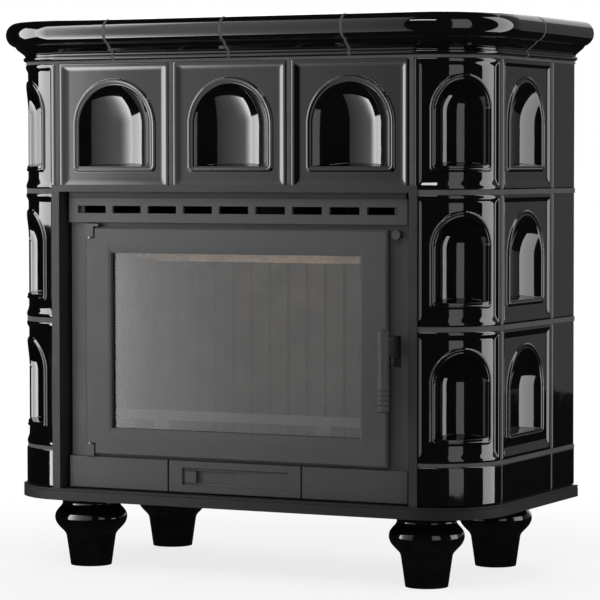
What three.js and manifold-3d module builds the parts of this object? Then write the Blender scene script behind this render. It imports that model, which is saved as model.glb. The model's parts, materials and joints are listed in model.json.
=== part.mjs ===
import * as THREE from "three";
import { mergeVertices } from "three/addons/utils/BufferGeometryUtils.js";
import Module from "manifold-3d";

// Tiled stove in millimetres: X to the right, Y to the back, Z up, floor at Z = 0.
// It is set out from the front face of the tiles, Y = 0, and centred in Y at the very end.

// ---------- Driving sizes: tiled shell ----------
const TILE = 220; // visible face of one stove tile
const JOINT = 2; // mortar joint between tiles
const GAP = 0.3; // clearance between fitted pieces
const ROWS = 3;
const FRONT_TILES = 3;
const CORNER_R = 112; // outer radius of the quarter-round corner tiles
const TILE_D = 45; // depth of a tile with its hollow back
const TILE_T = 14; // wall behind the plain field
const TILE_EDGE = 4; // chamfer round the face of every tile
const SLAB_T = 24; // thickness of plinth and end tiles
const END_W = 107; // plain strip at the back of each side
const PLINTH_H = 67.4;
const FOOT_H = 121;
const BASE_T = 20;
const BASE_OUT = 7; // overhang of the base plate
const CORNICE_H = 68;
const CORNICE_IN = 45; // depth of the cornice behind the tile face
const CORNICE_NOSE_X = 13; // centre and radius of its round nose
const CORNICE_NOSE_R = 21;
const CORNICE_RUN = 105; // straight end of the corner cornice along the side
const LEDGE_W = 20; // rebate at the inner top edge of the cornice
const LEDGE_D = 18;
const ARC_STEPS = 7; // facets round a quarter turn of the plan
const ARCH_STEPS = 6; // facets of a quarter of each arch

// Relief of a tile face
const RIM_W = 9;
const FIELD_D = 3.8;
const SLOPE_SIDE = 9;
const SLOPE_TOP = 6.6;
const SLOPE_LOW = 10;
const ARCH_HALF = 79.5; // outer half width of the arched bead
const ARCH_LOW = -77;
const ARCH_SPRING = 0.5;
const BEAD_W = 8;
const BEAD_Y = 0.5; // crest of the bead below the rim
const BEAD_EDGE = 2;
const NICHE_D = 30;
const SILL_SLOPE = 0.18;
const CORNER_ARCH_HALF = 55;
const CORNER_ARCH_RISE = 57.5;
const CORNER_ARCH_SPRING = 23;
const CORNER_NICHE_R = 55.7;
const CORNER_NICHE_AXIS = 129.7; // distance of the niche axis from the corner axis
const CORNER_NICHE_SPRING = 19;

// ---------- Driving sizes: insert ----------
const SURROUND_W = 15;
const SURROUND_BAND = 12;
const SURROUND_T = 2;
const SURROUND_LEG = 40;
const INSERT_GAP = 9; // air gap round the insert
const FRAME_Y = 22; // front of the main frame plate
const FRAME_T = 8;
const PANEL_Y = 15; // front of the vent and cover panels
const VENT_H = 44.1;
const VENT_SLOTS = 9;
const VENT_SLOT_H = 12.3;
const LOWER_H = 54.5;
const DRAWER_HALF = 125;
const DOOR_Y = 10;
const DOOR_T = 11;
const DOOR_SIDE = 35; // insert edge to door edge
const DOOR_TOP_GAP = 7.5;
const DOOR_LOW_GAP = 3.5;
const DOOR_EDGE = 3;
const GLASS_SIDE = 50; // door edge to glass opening at the sides
const GLASS_LOW = 46.5;
const GLASS_TOP = 43.5;
const GLASS_T = 4;
const SLOPE_RING_H = 20;
const SLOPE_RING_W = 5.4;
const SLOPE_RING_D = 3;
const SEAL_W = 8.5;
const SEAL_IN = 21.5; // door edge to the seal
const SEAL_D = 5;
const PIN_IN = 6; // hinge axis from the left door edge
const PIN_R = 2.5;
const FIREBOX_D = 341.7;
const WALL_T = 5;
const LINING_T = 30;
const LINING_Y = 52;
const BAFFLE_Y = 150; // front edge of the baffle
const BAFFLE_T = 26;
const BAFFLE_BEVEL = 56; // width of the slope along its sides
const GRATE_HALF = 105;
const GRATE_T = 8;
const GRATE_FRONT = 68; // hearth in front of and behind the grate
const GRATE_REAR = 16.7;
const GRATE_RIM = 20;
const GRATE_SEAT = 10; // grate resting on the floor all round its hole
const GRATE_SLOTS = 9;
const GRATE_SLOT_W = 10;
const GRATE_PITCH = 20;
const GUARD_Y = 42; // front of the log guard
const GUARD_T = 8;
const GUARD_H = 17;
const GUARD_CLEAR = 58; // open height under its bar
const GUARD_LEG_X = 153.5;
const GUARD_LEG_FOOT = 24;
const GUARD_LEG_HEAD = 31;
const FLUE_R = 90;
const FLUE_T = 2;
const FLUE_Y = 260;
const HANDLE_R = 10.25;
const HANDLE_Y = -19;
const HANDLE_LOW = -105; // bottom and top of the bar from its pivot
const HANDLE_TOP = 30;
const BLADE_T = 8.5;
const PIVOT_R = 3;
const HANDLE_RISE = 199; // door's lower edge to the handle pivot
const KNOB_R = 8;
const ROD_R = 4;
const ARM_W = 20; // cross arm of the damper
const ARM_HALF = 60;
const DAMPER_T = 3;
const DAMPER_BLEED_R = 20;
const FINGER_W = 23.5; // finger piece of the air slide
const FINGER_RAMP = 5;
const SLIDE_T = 2;
const SLIDE_LAP = 8; // blade of the air slide past the ends of its slit
const RIBS = 15; // ribs of the back lining
const RIB_GROOVE = 12;
const RIB_FOOT = 6;
const RIB_DEPTH = 7;

// ---------- Sizes that follow ----------
const PITCH = TILE + JOINT;
const OPENING_HALF = (FRONT_TILES * PITCH) / 2;
const BODY_HALF = OPENING_HALF + CORNER_R;
const SIDE_END = CORNER_R + PITCH;
const BODY_D = SIDE_END + END_W;
const BASE_TOP = FOOT_H + BASE_T;
const ROW_JOINTS = Array.from({ length: ROWS + 1 }, (_, i) => BASE_TOP + PLINTH_H + i * PITCH);
const TOP_JOINT = ROW_JOINTS[ROWS];
const CORNICE_Z = TOP_JOINT + JOINT / 2;
const TOP = CORNICE_Z + CORNICE_H;
const LEDGE_Z = TOP - LEDGE_D;
const LINTEL_Z = ROW_JOINTS[ROWS - 1];

const SURROUND_IN = OPENING_HALF - 4;
const SURROUND_TOP = LINTEL_Z - 0.9;
const INSERT_HALF = SURROUND_IN - INSERT_GAP;
const INSERT_LOW = BASE_TOP + 2;
const INSERT_TOP = SURROUND_TOP - 8.9;
const FRAME_BACK = FRAME_Y + FRAME_T;
const VENT_LOW = INSERT_TOP - VENT_H;
const LOWER_TOP = INSERT_LOW + LOWER_H;
const DOOR_HALF = INSERT_HALF - DOOR_SIDE;
const DOOR_LOW = LOWER_TOP + DOOR_LOW_GAP;
const DOOR_TOP = VENT_LOW - DOOR_TOP_GAP;
const DOOR_BACK = DOOR_Y + DOOR_T;
const GLASS_HALF = DOOR_HALF - GLASS_SIDE;
const GLASS_Z0 = DOOR_LOW + GLASS_LOW;
const GLASS_Z1 = DOOR_TOP - GLASS_TOP;
const FLANGE_W = 14.5; // glass opening to the outside of the glass flange
const REBATE_W = 10;
const FLANGE_BACK = DOOR_BACK + 10;
const HINGE_X = PIN_IN - DOOR_HALF;
const HINGE_Y = DOOR_Y + 4.5;
const FIREBOX_Y = FRAME_BACK;
const FIREBOX_HALF = INSERT_HALF - 8;
const FIREBOX_BACK = FIREBOX_Y + FIREBOX_D;
const FIREBOX_TOP = INSERT_TOP - 37.6;
const FLOOR_TOP = LOWER_TOP + 6.5;
const FLOOR_T = 8;
const LINING_HALF = FIREBOX_HALF - WALL_T - LINING_T;
const LINING_TOP = FIREBOX_TOP - 45;
const BAFFLE_Z = LINING_TOP - 30;
const BACK_LINING_Y = FIREBOX_BACK - WALL_T - LINING_T;
const GRATE_Y = [LINING_Y + GRATE_FRONT, BACK_LINING_Y - GRATE_REAR];
const PIVOT_Z = DOOR_LOW + HANDLE_RISE;
const PIVOT_Y = DOOR_Y + 5.5;
const HANDLE_X = DOOR_HALF + 7;
const KNOB_X = INSERT_HALF - 20;
const KNOB_Z = VENT_LOW - 15.5;

// ---------- Materials ----------
const paint = (color, roughness, metalness = 0) =>
  new THREE.MeshStandardMaterial({ color, roughness, metalness });
const GLAZE = paint(0x0b0b0c, 0.08);
const MORTAR = paint(0x6c6c6a, 0.95);
const STEEL = paint(0x3a3a3b, 0.55, 0.6);
const BLACK_STEEL = paint(0x1c1c1c, 0.6, 0.4);
const IRON = paint(0x303031, 0.7, 0.5);
const FEET = paint(0x080808, 0.15, 0.3);
const LINING = paint(0xb9aa98, 0.95);
const ROPE = paint(0x55534f, 1);
const BRIGHT = paint(0x8d8d8d, 0.35, 0.9);
const GLASS = new THREE.MeshStandardMaterial({
  color: 0x9aa0a4,
  roughness: 0.05,
  transparent: true,
  opacity: 0.35,
});

// ---------- Solid helpers ----------
const wasm = await Module();
wasm.setup();

/** A closed geometry as a solid, turned to face outward. */
function solid(geometry) {
  const flat = geometry.index ? geometry.toNonIndexed() : geometry;
  const bare = new THREE.BufferGeometry().setAttribute("position", flat.getAttribute("position"));
  const merged = mergeVertices(bare, 1e-4);
  const corners = [];
  for (let i = 0; i < merged.index.count; i += 3) {
    const [a, b, c] = [0, 1, 2].map((k) => merged.index.getX(i + k));
    if (a !== b && b !== c && c !== a) corners.push(a, b, c);
  }
  const vertProperties = new Float32Array(merged.attributes.position.array);
  const build = (list) =>
    new wasm.Manifold(
      new wasm.Mesh({ numProp: 3, vertProperties, triVerts: new Uint32Array(list) }),
    );
  const made = build(corners);
  return made.volume() < 0 ? build(corners.reverse()) : made;
}

const join = (pieces) => pieces.reduce((all, piece) => all.add(piece));

const polygon = (points) => new THREE.Shape(points.map(([u, v]) => new THREE.Vector2(u, v)));

/** Points on an arc from angle a0 to a1 in degrees, ends included. */
function arc(cu, cv, radius, a0, a1, steps) {
  return Array.from({ length: steps + 1 }, (_, i) => {
    const a = THREE.MathUtils.degToRad(a0 + ((a1 - a0) * i) / steps);
    return [cu + radius * Math.cos(a), cv + radius * Math.sin(a)];
  });
}

function extrude(shape, length, bevel, curveSegments) {
  const geometry = new THREE.ExtrudeGeometry(shape, {
    depth: length - 2 * bevel,
    bevelEnabled: bevel > 0,
    bevelThickness: bevel,
    bevelSize: bevel,
    bevelOffset: -bevel,
    bevelSegments: 1,
    curveSegments,
  });
  return geometry.translate(0, 0, bevel);
}

/** Shape drawn in X and Y, standing from z0 to z1. */
function prismZ(shape, z0, z1, bevel = 0, curveSegments = 8) {
  return solid(extrude(shape, z1 - z0, bevel, curveSegments).translate(0, 0, z0));
}

/** Shape drawn in X and Z, running from y0 to y1. */
function prismY(shape, y0, y1, bevel = 0, curveSegments = 8) {
  const geometry = extrude(shape, y1 - y0, bevel, curveSegments);
  return solid(geometry.rotateX(Math.PI / 2).translate(0, y1, 0));
}

const X_BASIS = new THREE.Matrix4().makeBasis(
  new THREE.Vector3(0, 1, 0),
  new THREE.Vector3(0, 0, 1),
  new THREE.Vector3(1, 0, 0),
);

/** Shape drawn in Y and Z, running from x0 to x1. */
function prismX(shape, x0, x1, bevel = 0, curveSegments = 8) {
  const geometry = extrude(shape, x1 - x0, bevel, curveSegments);
  return solid(geometry.applyMatrix4(X_BASIS).translate(x0, 0, 0));
}

function box(x0, x1, y0, y1, z0, z1) {
  const geometry = new THREE.BoxGeometry(x1 - x0, y1 - y0, z1 - z0);
  return solid(geometry.translate((x0 + x1) / 2, (y0 + y1) / 2, (z0 + z1) / 2));
}

/** Rods along the three axes, given their centre line and both ends. */
function rodX(radius, y, z, x0, x1, segments = 12) {
  const geometry = new THREE.CylinderGeometry(radius, radius, x1 - x0, segments);
  return solid(geometry.rotateZ(Math.PI / 2).translate((x0 + x1) / 2, y, z));
}
function rodY(radius, x, z, y0, y1, segments = 12) {
  const geometry = new THREE.CylinderGeometry(radius, radius, y1 - y0, segments);
  return solid(geometry.translate(x, (y0 + y1) / 2, z));
}
function rodZ(radius, x, y, z0, z1, segments = 12) {
  const geometry = new THREE.CylinderGeometry(radius, radius, z1 - z0, segments);
  return solid(geometry.rotateX(Math.PI / 2).translate(x, y, (z0 + z1) / 2));
}

/** Profile of [radius, z] points turned about a vertical axis at x, y. */
function lathe(profile, segments, x = 0, y = 0) {
  const points = profile.map(([r, z]) => new THREE.Vector2(r, z));
  const geometry = new THREE.LatheGeometry(points, segments);
  return solid(geometry.rotateX(Math.PI / 2).translate(x, y, 0));
}

/** A closed skin through rings of equal count; outline is the ring laid flat, used for both ends. */
function skin(rings, outline) {
  const count = outline.length;
  const last = (rings.length - 1) * count;
  const index = [];
  const flat = outline.map(([u, v]) => new THREE.Vector2(u, v));
  const clockwise = THREE.ShapeUtils.isClockWise(flat);
  for (const cap of THREE.ShapeUtils.triangulateShape(flat, [])) {
    const [a, b, c] = clockwise ? cap.reverse() : cap;
    index.push(a, b, c, last + c, last + b, last + a);
  }
  for (let ring = 0; ring < last; ring += count) {
    for (let k = 0; k < count; k += 1) {
      const next = (k + 1) % count;
      const far = ring + count;
      index.push(ring + k, far + k, far + next, ring + k, far + next, ring + next);
    }
  }
  const geometry = new THREE.BufferGeometry();
  geometry.setAttribute("position", new THREE.Float32BufferAttribute(rings.flat(2), 3));
  return solid(geometry.setIndex(index));
}

/** Rectangles [y, x0, x1, z0, z1] joined one behind the other. */
function stack(levels) {
  const rings = levels.map(([y, x0, x1, z0, z1]) => [
    [x0, y, z0],
    [x1, y, z0],
    [x1, y, z1],
    [x0, y, z1],
  ]);
  return skin(
    rings,
    rings[0].map(([x, , z]) => [x, z]),
  );
}

/** A hollow rectangle from y0 to y1: outer half width and heights, less a wall on every side. */
function ring(half, z0, z1, wall, y0, y1) {
  const hole = box(wall - half, half - wall, y0 - 1, y1 + 1, z0 + wall, z1 - wall);
  return box(-half, half, y0, y1, z0, z1).subtract(hole);
}

/** Section of [outward, z] points carried along plan stations with their outward normals. */
function sweep(section, stations) {
  const rings = stations.map(({ x, y, nx, ny }) =>
    section.map(([out, z]) => [x + nx * out, y + ny * out, z]),
  );
  return skin(rings, section);
}

/** Plan of the right half of the shell: along the front from startX, round the corner, back to endY. */
function rightPlan(startX, endY) {
  const turn = Array.from({ length: ARC_STEPS + 1 }, (_, i) => {
    const a = (Math.PI / 2) * (i / ARC_STEPS);
    const [nx, ny] = [Math.sin(a), -Math.cos(a)];
    return { x: OPENING_HALF + nx * CORNER_R, y: CORNER_R + ny * CORNER_R, nx, ny };
  });
  const front = startX < OPENING_HALF ? [{ x: startX, y: 0, nx: 0, ny: -1 }] : [];
  return [...front, ...turn, { x: BODY_HALF, y: endY, nx: 1, ny: 0 }];
}

function node(name, made, material) {
  const { vertProperties, triVerts } = made.getMesh();
  const geometry = new THREE.BufferGeometry();
  geometry.setAttribute("position", new THREE.BufferAttribute(new Float32Array(vertProperties), 3));
  geometry.setIndex(new THREE.BufferAttribute(new Uint32Array(triVerts), 1));
  geometry.computeVertexNormals();
  const mesh = new THREE.Mesh(geometry, material);
  mesh.name = name;
  return mesh;
}

function copyOf(mesh, name) {
  const copy = new THREE.Mesh(mesh.geometry, mesh.material);
  copy.name = name;
  return copy;
}

// ---------- Tiles ----------
/** Arched outline centred on X = 0. */
function arch(half, low, spring, rise, corner) {
  const shape = new THREE.Shape();
  shape.moveTo(corner - half, low);
  shape.lineTo(half - corner, low);
  shape.lineTo(half, low + corner);
  shape.lineTo(half, spring);
  shape.absellipse(0, spring, half, rise, 0, Math.PI, false, 0);
  shape.lineTo(-half, low + corner);
  return shape;
}

/** Plain slab with a chamfered face at Y = 0. */
function slab(half, halfHeight, depth) {
  const [face, top] = [half - TILE_EDGE, halfHeight - TILE_EDGE];
  return stack([
    [0, -face, face, -top, top],
    [TILE_EDGE, -half, half, -halfHeight, halfHeight],
    [depth, -half, half, -halfHeight, halfHeight],
  ]);
}

/** Everything above the sill of a niche, which climbs from its front edge towards the back. */
function aboveSill(low, faceY) {
  const reach = 3 * TILE;
  return prismX(
    polygon([
      [faceY - reach, low],
      [faceY, low],
      [faceY + reach, low + SILL_SLOPE * reach],
      [faceY + reach, reach],
      [faceY - reach, reach],
    ]),
    -reach,
    reach,
  );
}

/** Upright cutter with a round nose towards the back and a dome of the same radius on top. */
function bullet(radius, spring, axisY, reach) {
  const steps = 4;
  const nose = Array.from({ length: steps + 1 }, (_, i) => {
    const a = THREE.MathUtils.degToRad((reach * i) / steps);
    return [radius * Math.sin(a), axisY + radius * Math.cos(a)];
  });
  const front = nose[steps][1];
  const profile = [...nose, [0, front]].reverse();
  const points = profile.map(([r, y]) => new THREE.Vector2(r, y));
  const ball = solid(new THREE.LatheGeometry(points, 16).translate(0, 0, spring));
  const outline = [...nose, ...nose.slice(1).reverse().map(([r, y]) => [-r, y])];
  return ball.add(prismZ(polygon(outline), -TILE, spring));
}

/** Flat tile: sunk field, arched bead and rounded niche, hollow behind. */
function flatTile() {
  const half = TILE / 2;
  const rim = half - RIM_W;
  const lift = 1; // the cutter starts this far in front of the face
  const grow = (slope) => (slope * lift) / FIELD_D;
  const field = stack([
    [
      -lift,
      -rim - grow(SLOPE_SIDE),
      rim + grow(SLOPE_SIDE),
      -rim - grow(SLOPE_LOW),
      rim + grow(SLOPE_TOP),
    ],
    [FIELD_D, SLOPE_SIDE - rim, rim - SLOPE_SIDE, SLOPE_LOW - rim, rim - SLOPE_TOP],
  ]);
  const bead = prismY(
    arch(ARCH_HALF, ARCH_LOW, ARCH_SPRING, ARCH_HALF, TILE_EDGE),
    BEAD_Y,
    TILE_T,
    BEAD_EDGE,
    ARCH_STEPS,
  );
  const nicheHalf = ARCH_HALF - BEAD_W;
  const radius = (nicheHalf ** 2 + NICHE_D ** 2) / (2 * NICHE_D);
  const niche = bullet(radius, ARCH_SPRING, NICHE_D - radius, 60).intersect(
    aboveSill(ARCH_LOW + BEAD_W, 0),
  );
  const wall = 10;
  const boss = prismY(
    arch(ARCH_HALF, ARCH_LOW, ARCH_SPRING, ARCH_HALF, TILE_EDGE),
    TILE_T - 1,
    TILE_D + 1,
    0,
    3,
  );
  const pocket = box(wall - half, half - wall, TILE_T, TILE_D + 1, wall - half, half - wall);
  return slab(half, half, TILE_D)
    .subtract(pocket.subtract(boss))
    .subtract(field)
    .add(bead)
    .subtract(niche);
}

/** Quarter-round tile about its own corner axis, turned so that it faces the front right. */
function cornerTile() {
  const half = TILE / 2;
  const edge = CORNER_R - TILE_EDGE;
  const turns = 4 * ARC_STEPS;
  const body = lathe(
    [
      [CORNER_R - TILE_D, -half],
      [edge, -half],
      [CORNER_R, TILE_EDGE - half],
      [CORNER_R, half - TILE_EDGE],
      [edge, half],
      [CORNER_R - TILE_D, half],
      [CORNER_R - TILE_D, -half],
    ],
    turns,
  );
  const end = JOINT / 2;
  const past = 30;
  const quarter = polygon([
    [end, -end],
    [end, -edge],
    [end + TILE_EDGE + past, -CORNER_R - past],
    [CORNER_R + past, -end - TILE_EDGE - past],
    [edge, -end],
  ]);
  const rim = half - RIM_W;
  const floor = CORNER_R - FIELD_D;
  const groove = lathe(
    [
      [floor, SLOPE_LOW - rim],
      [CORNER_R, -rim],
      [CORNER_R + past, -rim],
      [CORNER_R + past, rim],
      [CORNER_R, rim],
      [floor, rim - SLOPE_TOP],
      [floor, SLOPE_LOW - rim],
    ],
    turns,
  );
  const slopeTop = [RIM_W + end, -Math.sqrt(CORNER_R ** 2 - (RIM_W + end) ** 2)];
  const slopeFoot = [
    RIM_W + end + SLOPE_SIDE / 2,
    -Math.sqrt(floor ** 2 - (RIM_W + end + SLOPE_SIDE / 2) ** 2),
  ];
  const out = 8;
  const slopeOut = slopeTop.map((value, i) => value + out * (value - slopeFoot[i]));
  const flip = ([x, y]) => [-y, -x];
  const sector = prismZ(
    polygon([
      [0, 0],
      slopeFoot,
      slopeOut,
      [2 * CORNER_R, -2 * CORNER_R],
      flip(slopeOut),
      flip(slopeFoot),
    ]),
    -half,
    half,
  );
  const bead = (inset, radius) =>
    prismY(
      arch(
        CORNER_ARCH_HALF - inset,
        ARCH_LOW + inset,
        CORNER_ARCH_SPRING,
        CORNER_ARCH_RISE - inset,
        TILE_EDGE,
      ),
      -CORNER_R - 1,
      TILE_T - CORNER_R,
      0,
      ARCH_STEPS,
    ).intersect(lathe([[0, -half], [radius, -half], [radius, half], [0, half]], turns));
  const arched = bead(0, CORNER_R - BEAD_Y - BEAD_EDGE).add(bead(BEAD_EDGE, CORNER_R - BEAD_Y));
  const niche = bullet(CORNER_NICHE_R, CORNER_NICHE_SPRING, -CORNER_NICHE_AXIS, 85).intersect(
    aboveSill(ARCH_LOW + BEAD_W, -CORNER_R),
  );
  return body
    .intersect(prismZ(quarter, -half - 1, half + 1))
    .subtract(groove.intersect(sector))
    .add(arched.rotate([0, 0, 45]))
    .subtract(niche.rotate([0, 0, 45]));
}

// ---------- Joints between the tiles ----------
/** Half section of a joint as [depth, half width]: flared by the tile chamfers, then narrow. */
function jointSide(sink, clearance, depth) {
  return [
    [sink, JOINT / 2 + TILE_EDGE - sink - clearance * Math.SQRT2],
    [TILE_EDGE - clearance * (Math.SQRT2 - 1), JOINT / 2 - clearance],
    [depth, JOINT / 2 - clearance],
  ];
}

const MORTAR_SINK = 0.4; // beds; the upright joints are raked back a little more
const UPRIGHT_SINK = 0.6;
const PLINTH_SINK = 0.8;
const MORTAR_D = 22;
const UPRIGHT_D = 20;
const PLINTH_JOINT_D = 12;

/** Upright bar of mortar or upright groove; at turns a point of [across, depth] into plan. */
function uprightJoint(side, at, z0, z1) {
  const outline = [...side, ...side.map(([d, w]) => [d, -w]).reverse()].map(([d, w]) => at(w, d));
  return prismZ(polygon(outline), z0, z1);
}

const onFront = (x) => (w, d) => [x + w, d];
const onSide = (y) => (w, d) => [BODY_HALF - d, y + w];
const SIDE_JOINTS = [CORNER_R, SIDE_END];
const CORNICE_FRONT_JOINT = PITCH;
const CORNICE_SIDE_JOINT = CORNER_R + CORNICE_RUN;

/** Plinth of the right side in one piece, with a groove where its tiles would meet. */
function plinth() {
  const [low, high] = [BASE_TOP, BASE_TOP + PLINTH_H - JOINT / 2];
  const section = [
    [-SLAB_T, low],
    [-TILE_EDGE, low],
    [0, low + TILE_EDGE],
    [0, high - TILE_EDGE],
    [-TILE_EDGE, high],
    [-SLAB_T, high],
  ];
  const start = box(0, OPENING_HALF + JOINT / 2, -1, SLAB_T + 1, low - 1, high + 1);
  const groove = jointSide(-1, 0, PLINTH_JOINT_D);
  const grooves = SIDE_JOINTS.map((y) => uprightJoint(groove, onSide(y), low - 1, high + 1));
  return sweep(section, rightPlan(OPENING_HALF, BODY_D)).subtract(join([start, ...grooves]));
}

/** Cornice section: bead, spread, round nose, flat top and the ledge for the top plate. */
function corniceSection(sink = 0, low = CORNICE_Z) {
  const bead = arc(0, 4.5, 3.7, -90, 90, 4);
  const spread = [
    [0.7, 10.5],
    [7, 15.7],
    [14.5, 22.5],
  ];
  const nose = arc(CORNICE_NOSE_X, CORNICE_H - CORNICE_NOSE_R, CORNICE_NOSE_R, -76, 90, 7);
  const outer = [...bead, ...spread, ...nose].map(([out, z]) => [
    out - sink,
    CORNICE_Z + Math.min(z, CORNICE_H - sink),
  ]);
  return [
    [-CORNICE_IN, low],
    [-sink, low],
    ...outer,
    [LEDGE_W - CORNICE_IN, TOP - sink],
    [LEDGE_W - CORNICE_IN, LEDGE_Z - sink],
    [-CORNICE_IN, LEDGE_Z - sink],
  ];
}

const cut = JOINT / 2;
const frontRun = (x0, x1) => [
  { x: x0, y: 0, nx: 0, ny: -1 },
  { x: x1, y: 0, nx: 0, ny: -1 },
];
const sideRun = (y0, y1) => [
  { x: BODY_HALF, y: y0, nx: 1, ny: 0 },
  { x: BODY_HALF, y: y1, nx: 1, ny: 0 },
];

/** All mortar in one lattice: bed joints round the plan, upright joints and the cornice joints. */
function mortar() {
  const side = jointSide(MORTAR_SINK, GAP, MORTAR_D);
  const upright = jointSide(UPRIGHT_SINK, GAP, UPRIGHT_D);
  const bed = (z, above) => [
    ...side.map(([d, w]) => [-d, z - w]),
    ...side.map(([d, w]) => [-d, z + (above ? w : JOINT / 2 - GAP)]).reverse(),
  ];
  const right = rightPlan(OPENING_HALF, BODY_D);
  const trim = box(0, OPENING_HALF + cut, -1, TILE_D, 0, TOP);
  const half = join([
    ...ROW_JOINTS.slice(0, ROWS).map((z) => sweep(bed(z, true), right).subtract(trim)),
    ...SIDE_JOINTS.map((y) =>
      uprightJoint(
        jointSide(PLINTH_SINK, GAP, PLINTH_JOINT_D - GAP),
        onSide(y),
        BASE_TOP + GAP,
        ROW_JOINTS[0] + GAP,
      ).add(uprightJoint(upright, onSide(y), ROW_JOINTS[0], TOP_JOINT)),
    ),
    sweep(bed(TOP_JOINT, false), rightPlan(0, BODY_D)),
    ...[0.5, 1.5].map((turn) =>
      uprightJoint(upright, onFront(turn * PITCH), LINTEL_Z + JOINT, TOP_JOINT),
    ),
    sweep(
      corniceSection(MORTAR_SINK, TOP_JOINT),
      frontRun(CORNICE_FRONT_JOINT - cut + GAP, CORNICE_FRONT_JOINT + cut - GAP),
    ),
    sweep(
      corniceSection(MORTAR_SINK, TOP_JOINT),
      sideRun(CORNICE_SIDE_JOINT - cut + GAP, CORNICE_SIDE_JOINT + cut - GAP),
    ),
    sweep(corniceSection(MORTAR_SINK, TOP_JOINT), frontRun(0, cut - GAP)),
  ]);
  return half.add(half.mirror([1, 0, 0]));
}

// ---------- Base, feet and covers ----------
const FOOT_X = BODY_HALF - 124;
const FOOT_Y = [89, BODY_D - 57];
const FOOT_R = 63;
const FOOT_TOP_R = 53.5;

/** Plan of the base plate with round front corners, taken in by inset. */
function basePlan(inset) {
  const radius = CORNER_R + BASE_OUT - inset;
  const back = BODY_D - inset;
  return polygon([
    [BODY_HALF + BASE_OUT - inset, back],
    [inset - BODY_HALF - BASE_OUT, back],
    ...arc(-OPENING_HALF, CORNER_R, radius, 180, 270, ARC_STEPS),
    ...arc(OPENING_HALF, CORNER_R, radius, 270, 360, ARC_STEPS),
  ]);
}

/** Pressed steel tray, open below, with a round pad over each foot. */
function basePlate() {
  const sheet = 4;
  const pads = [-FOOT_X, FOOT_X].flatMap((x) =>
    FOOT_Y.map((y) => rodZ(FOOT_TOP_R + 3, x, y, FOOT_H, BASE_TOP - sheet / 2, 12)),
  );
  const hollow = prismZ(basePlan(sheet + 1), FOOT_H - 1, BASE_TOP - sheet);
  const line = prismZ(basePlan(-1), BASE_TOP - 4.2, BASE_TOP - 3);
  const shadow = line.subtract(prismZ(basePlan(1), BASE_TOP - 5, BASE_TOP - 2));
  return prismZ(basePlan(0), FOOT_H, BASE_TOP).subtract(hollow).subtract(shadow).add(join(pads));
}

function foot() {
  return lathe(
    [
      [0, 0],
      [36, 0],
      [43, 51],
      [47, 59],
      [56, 68],
      [61.5, 77],
      [FOOT_R, 84.5],
      [61.3, 92],
      [56, 99],
      [50, 108],
      [FOOT_TOP_R, 115],
      [FOOT_TOP_R, FOOT_H],
      [0, FOOT_H],
    ],
    16,
  );
}

function topPlate() {
  const inner = CORNICE_IN - LEDGE_W + 1;
  const half = BODY_HALF - inner;
  const plate = 2;
  const radius = CORNER_R - inner;
  const plan = polygon([
    [half, BODY_D - 6],
    [-half, BODY_D - 6],
    ...arc(-OPENING_HALF, CORNER_R, radius, 180, 270, ARC_STEPS),
    ...arc(OPENING_HALF, CORNER_R, radius, 270, 360, ARC_STEPS),
  ]);
  const hole = rodZ(FLUE_R + 1, 0, FLUE_Y, LEDGE_Z - 1, LEDGE_Z + plate + 1, 24);
  return prismZ(plan, LEDGE_Z, LEDGE_Z + plate).subtract(hole);
}

function backPanel() {
  const half = BODY_HALF - SLAB_T - 0.5;
  const sheet = 2;
  const y = BODY_D - 5;
  const slots = [0.3, 0.7].flatMap((part) =>
    [-2, -1, 0, 1, 2].map((k) => {
      const z = BASE_TOP + part * (TOP_JOINT - BASE_TOP);
      return box(k * 110 - 45, k * 110 + 45, y - 1, y + sheet + 1, z - 5, z + 5);
    }),
  );
  const upper = BODY_HALF - CORNICE_IN - 0.5;
  return box(-half, half, y, y + sheet, BASE_TOP, TOP_JOINT - JOINT)
    .add(box(-upper, upper, y, y + sheet, TOP_JOINT - JOINT - 1, LEDGE_Z))
    .subtract(join(slots));
}

/** Flue pipe with a foot flange on the firebox and a cover ring on the top plate. */
function fluePipe() {
  const top = TOP - 0.5;
  const cover = LEDGE_Z + 2;
  return lathe(
    [
      [FLUE_R - FLUE_T, FIREBOX_TOP],
      [FLUE_R + 14, FIREBOX_TOP],
      [FLUE_R + 14, FIREBOX_TOP + 3],
      [FLUE_R, FIREBOX_TOP + 3],
      [FLUE_R, cover + 0.2],
      [FLUE_R + 12, cover + 0.2],
      [FLUE_R + 12, cover + 2.2],
      [FLUE_R, cover + 2.2],
      [FLUE_R, top],
      [FLUE_R - FLUE_T, top],
      [FLUE_R - FLUE_T, FIREBOX_TOP],
    ],
    24,
    0,
    FLUE_Y,
  );
}

/** Angle frame standing round the opening: a band over the tile edges and a leg turned inward. */
function surround() {
  const face = SURROUND_IN + SURROUND_W;
  const faceY = -GAP - SURROUND_T;
  const leg = 1.5;
  const bandTop = SURROUND_TOP + SURROUND_BAND;
  const doorway = box(-SURROUND_IN, SURROUND_IN, -10, SURROUND_LEG + 10, 0, SURROUND_TOP);
  const band = box(-face, face, faceY, -GAP, BASE_TOP, bandTop);
  const inner = SURROUND_IN + leg;
  return band
    .add(box(-inner, inner, -GAP - 0.5, SURROUND_LEG, BASE_TOP, SURROUND_TOP + leg))
    .subtract(doorway);
}

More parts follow.
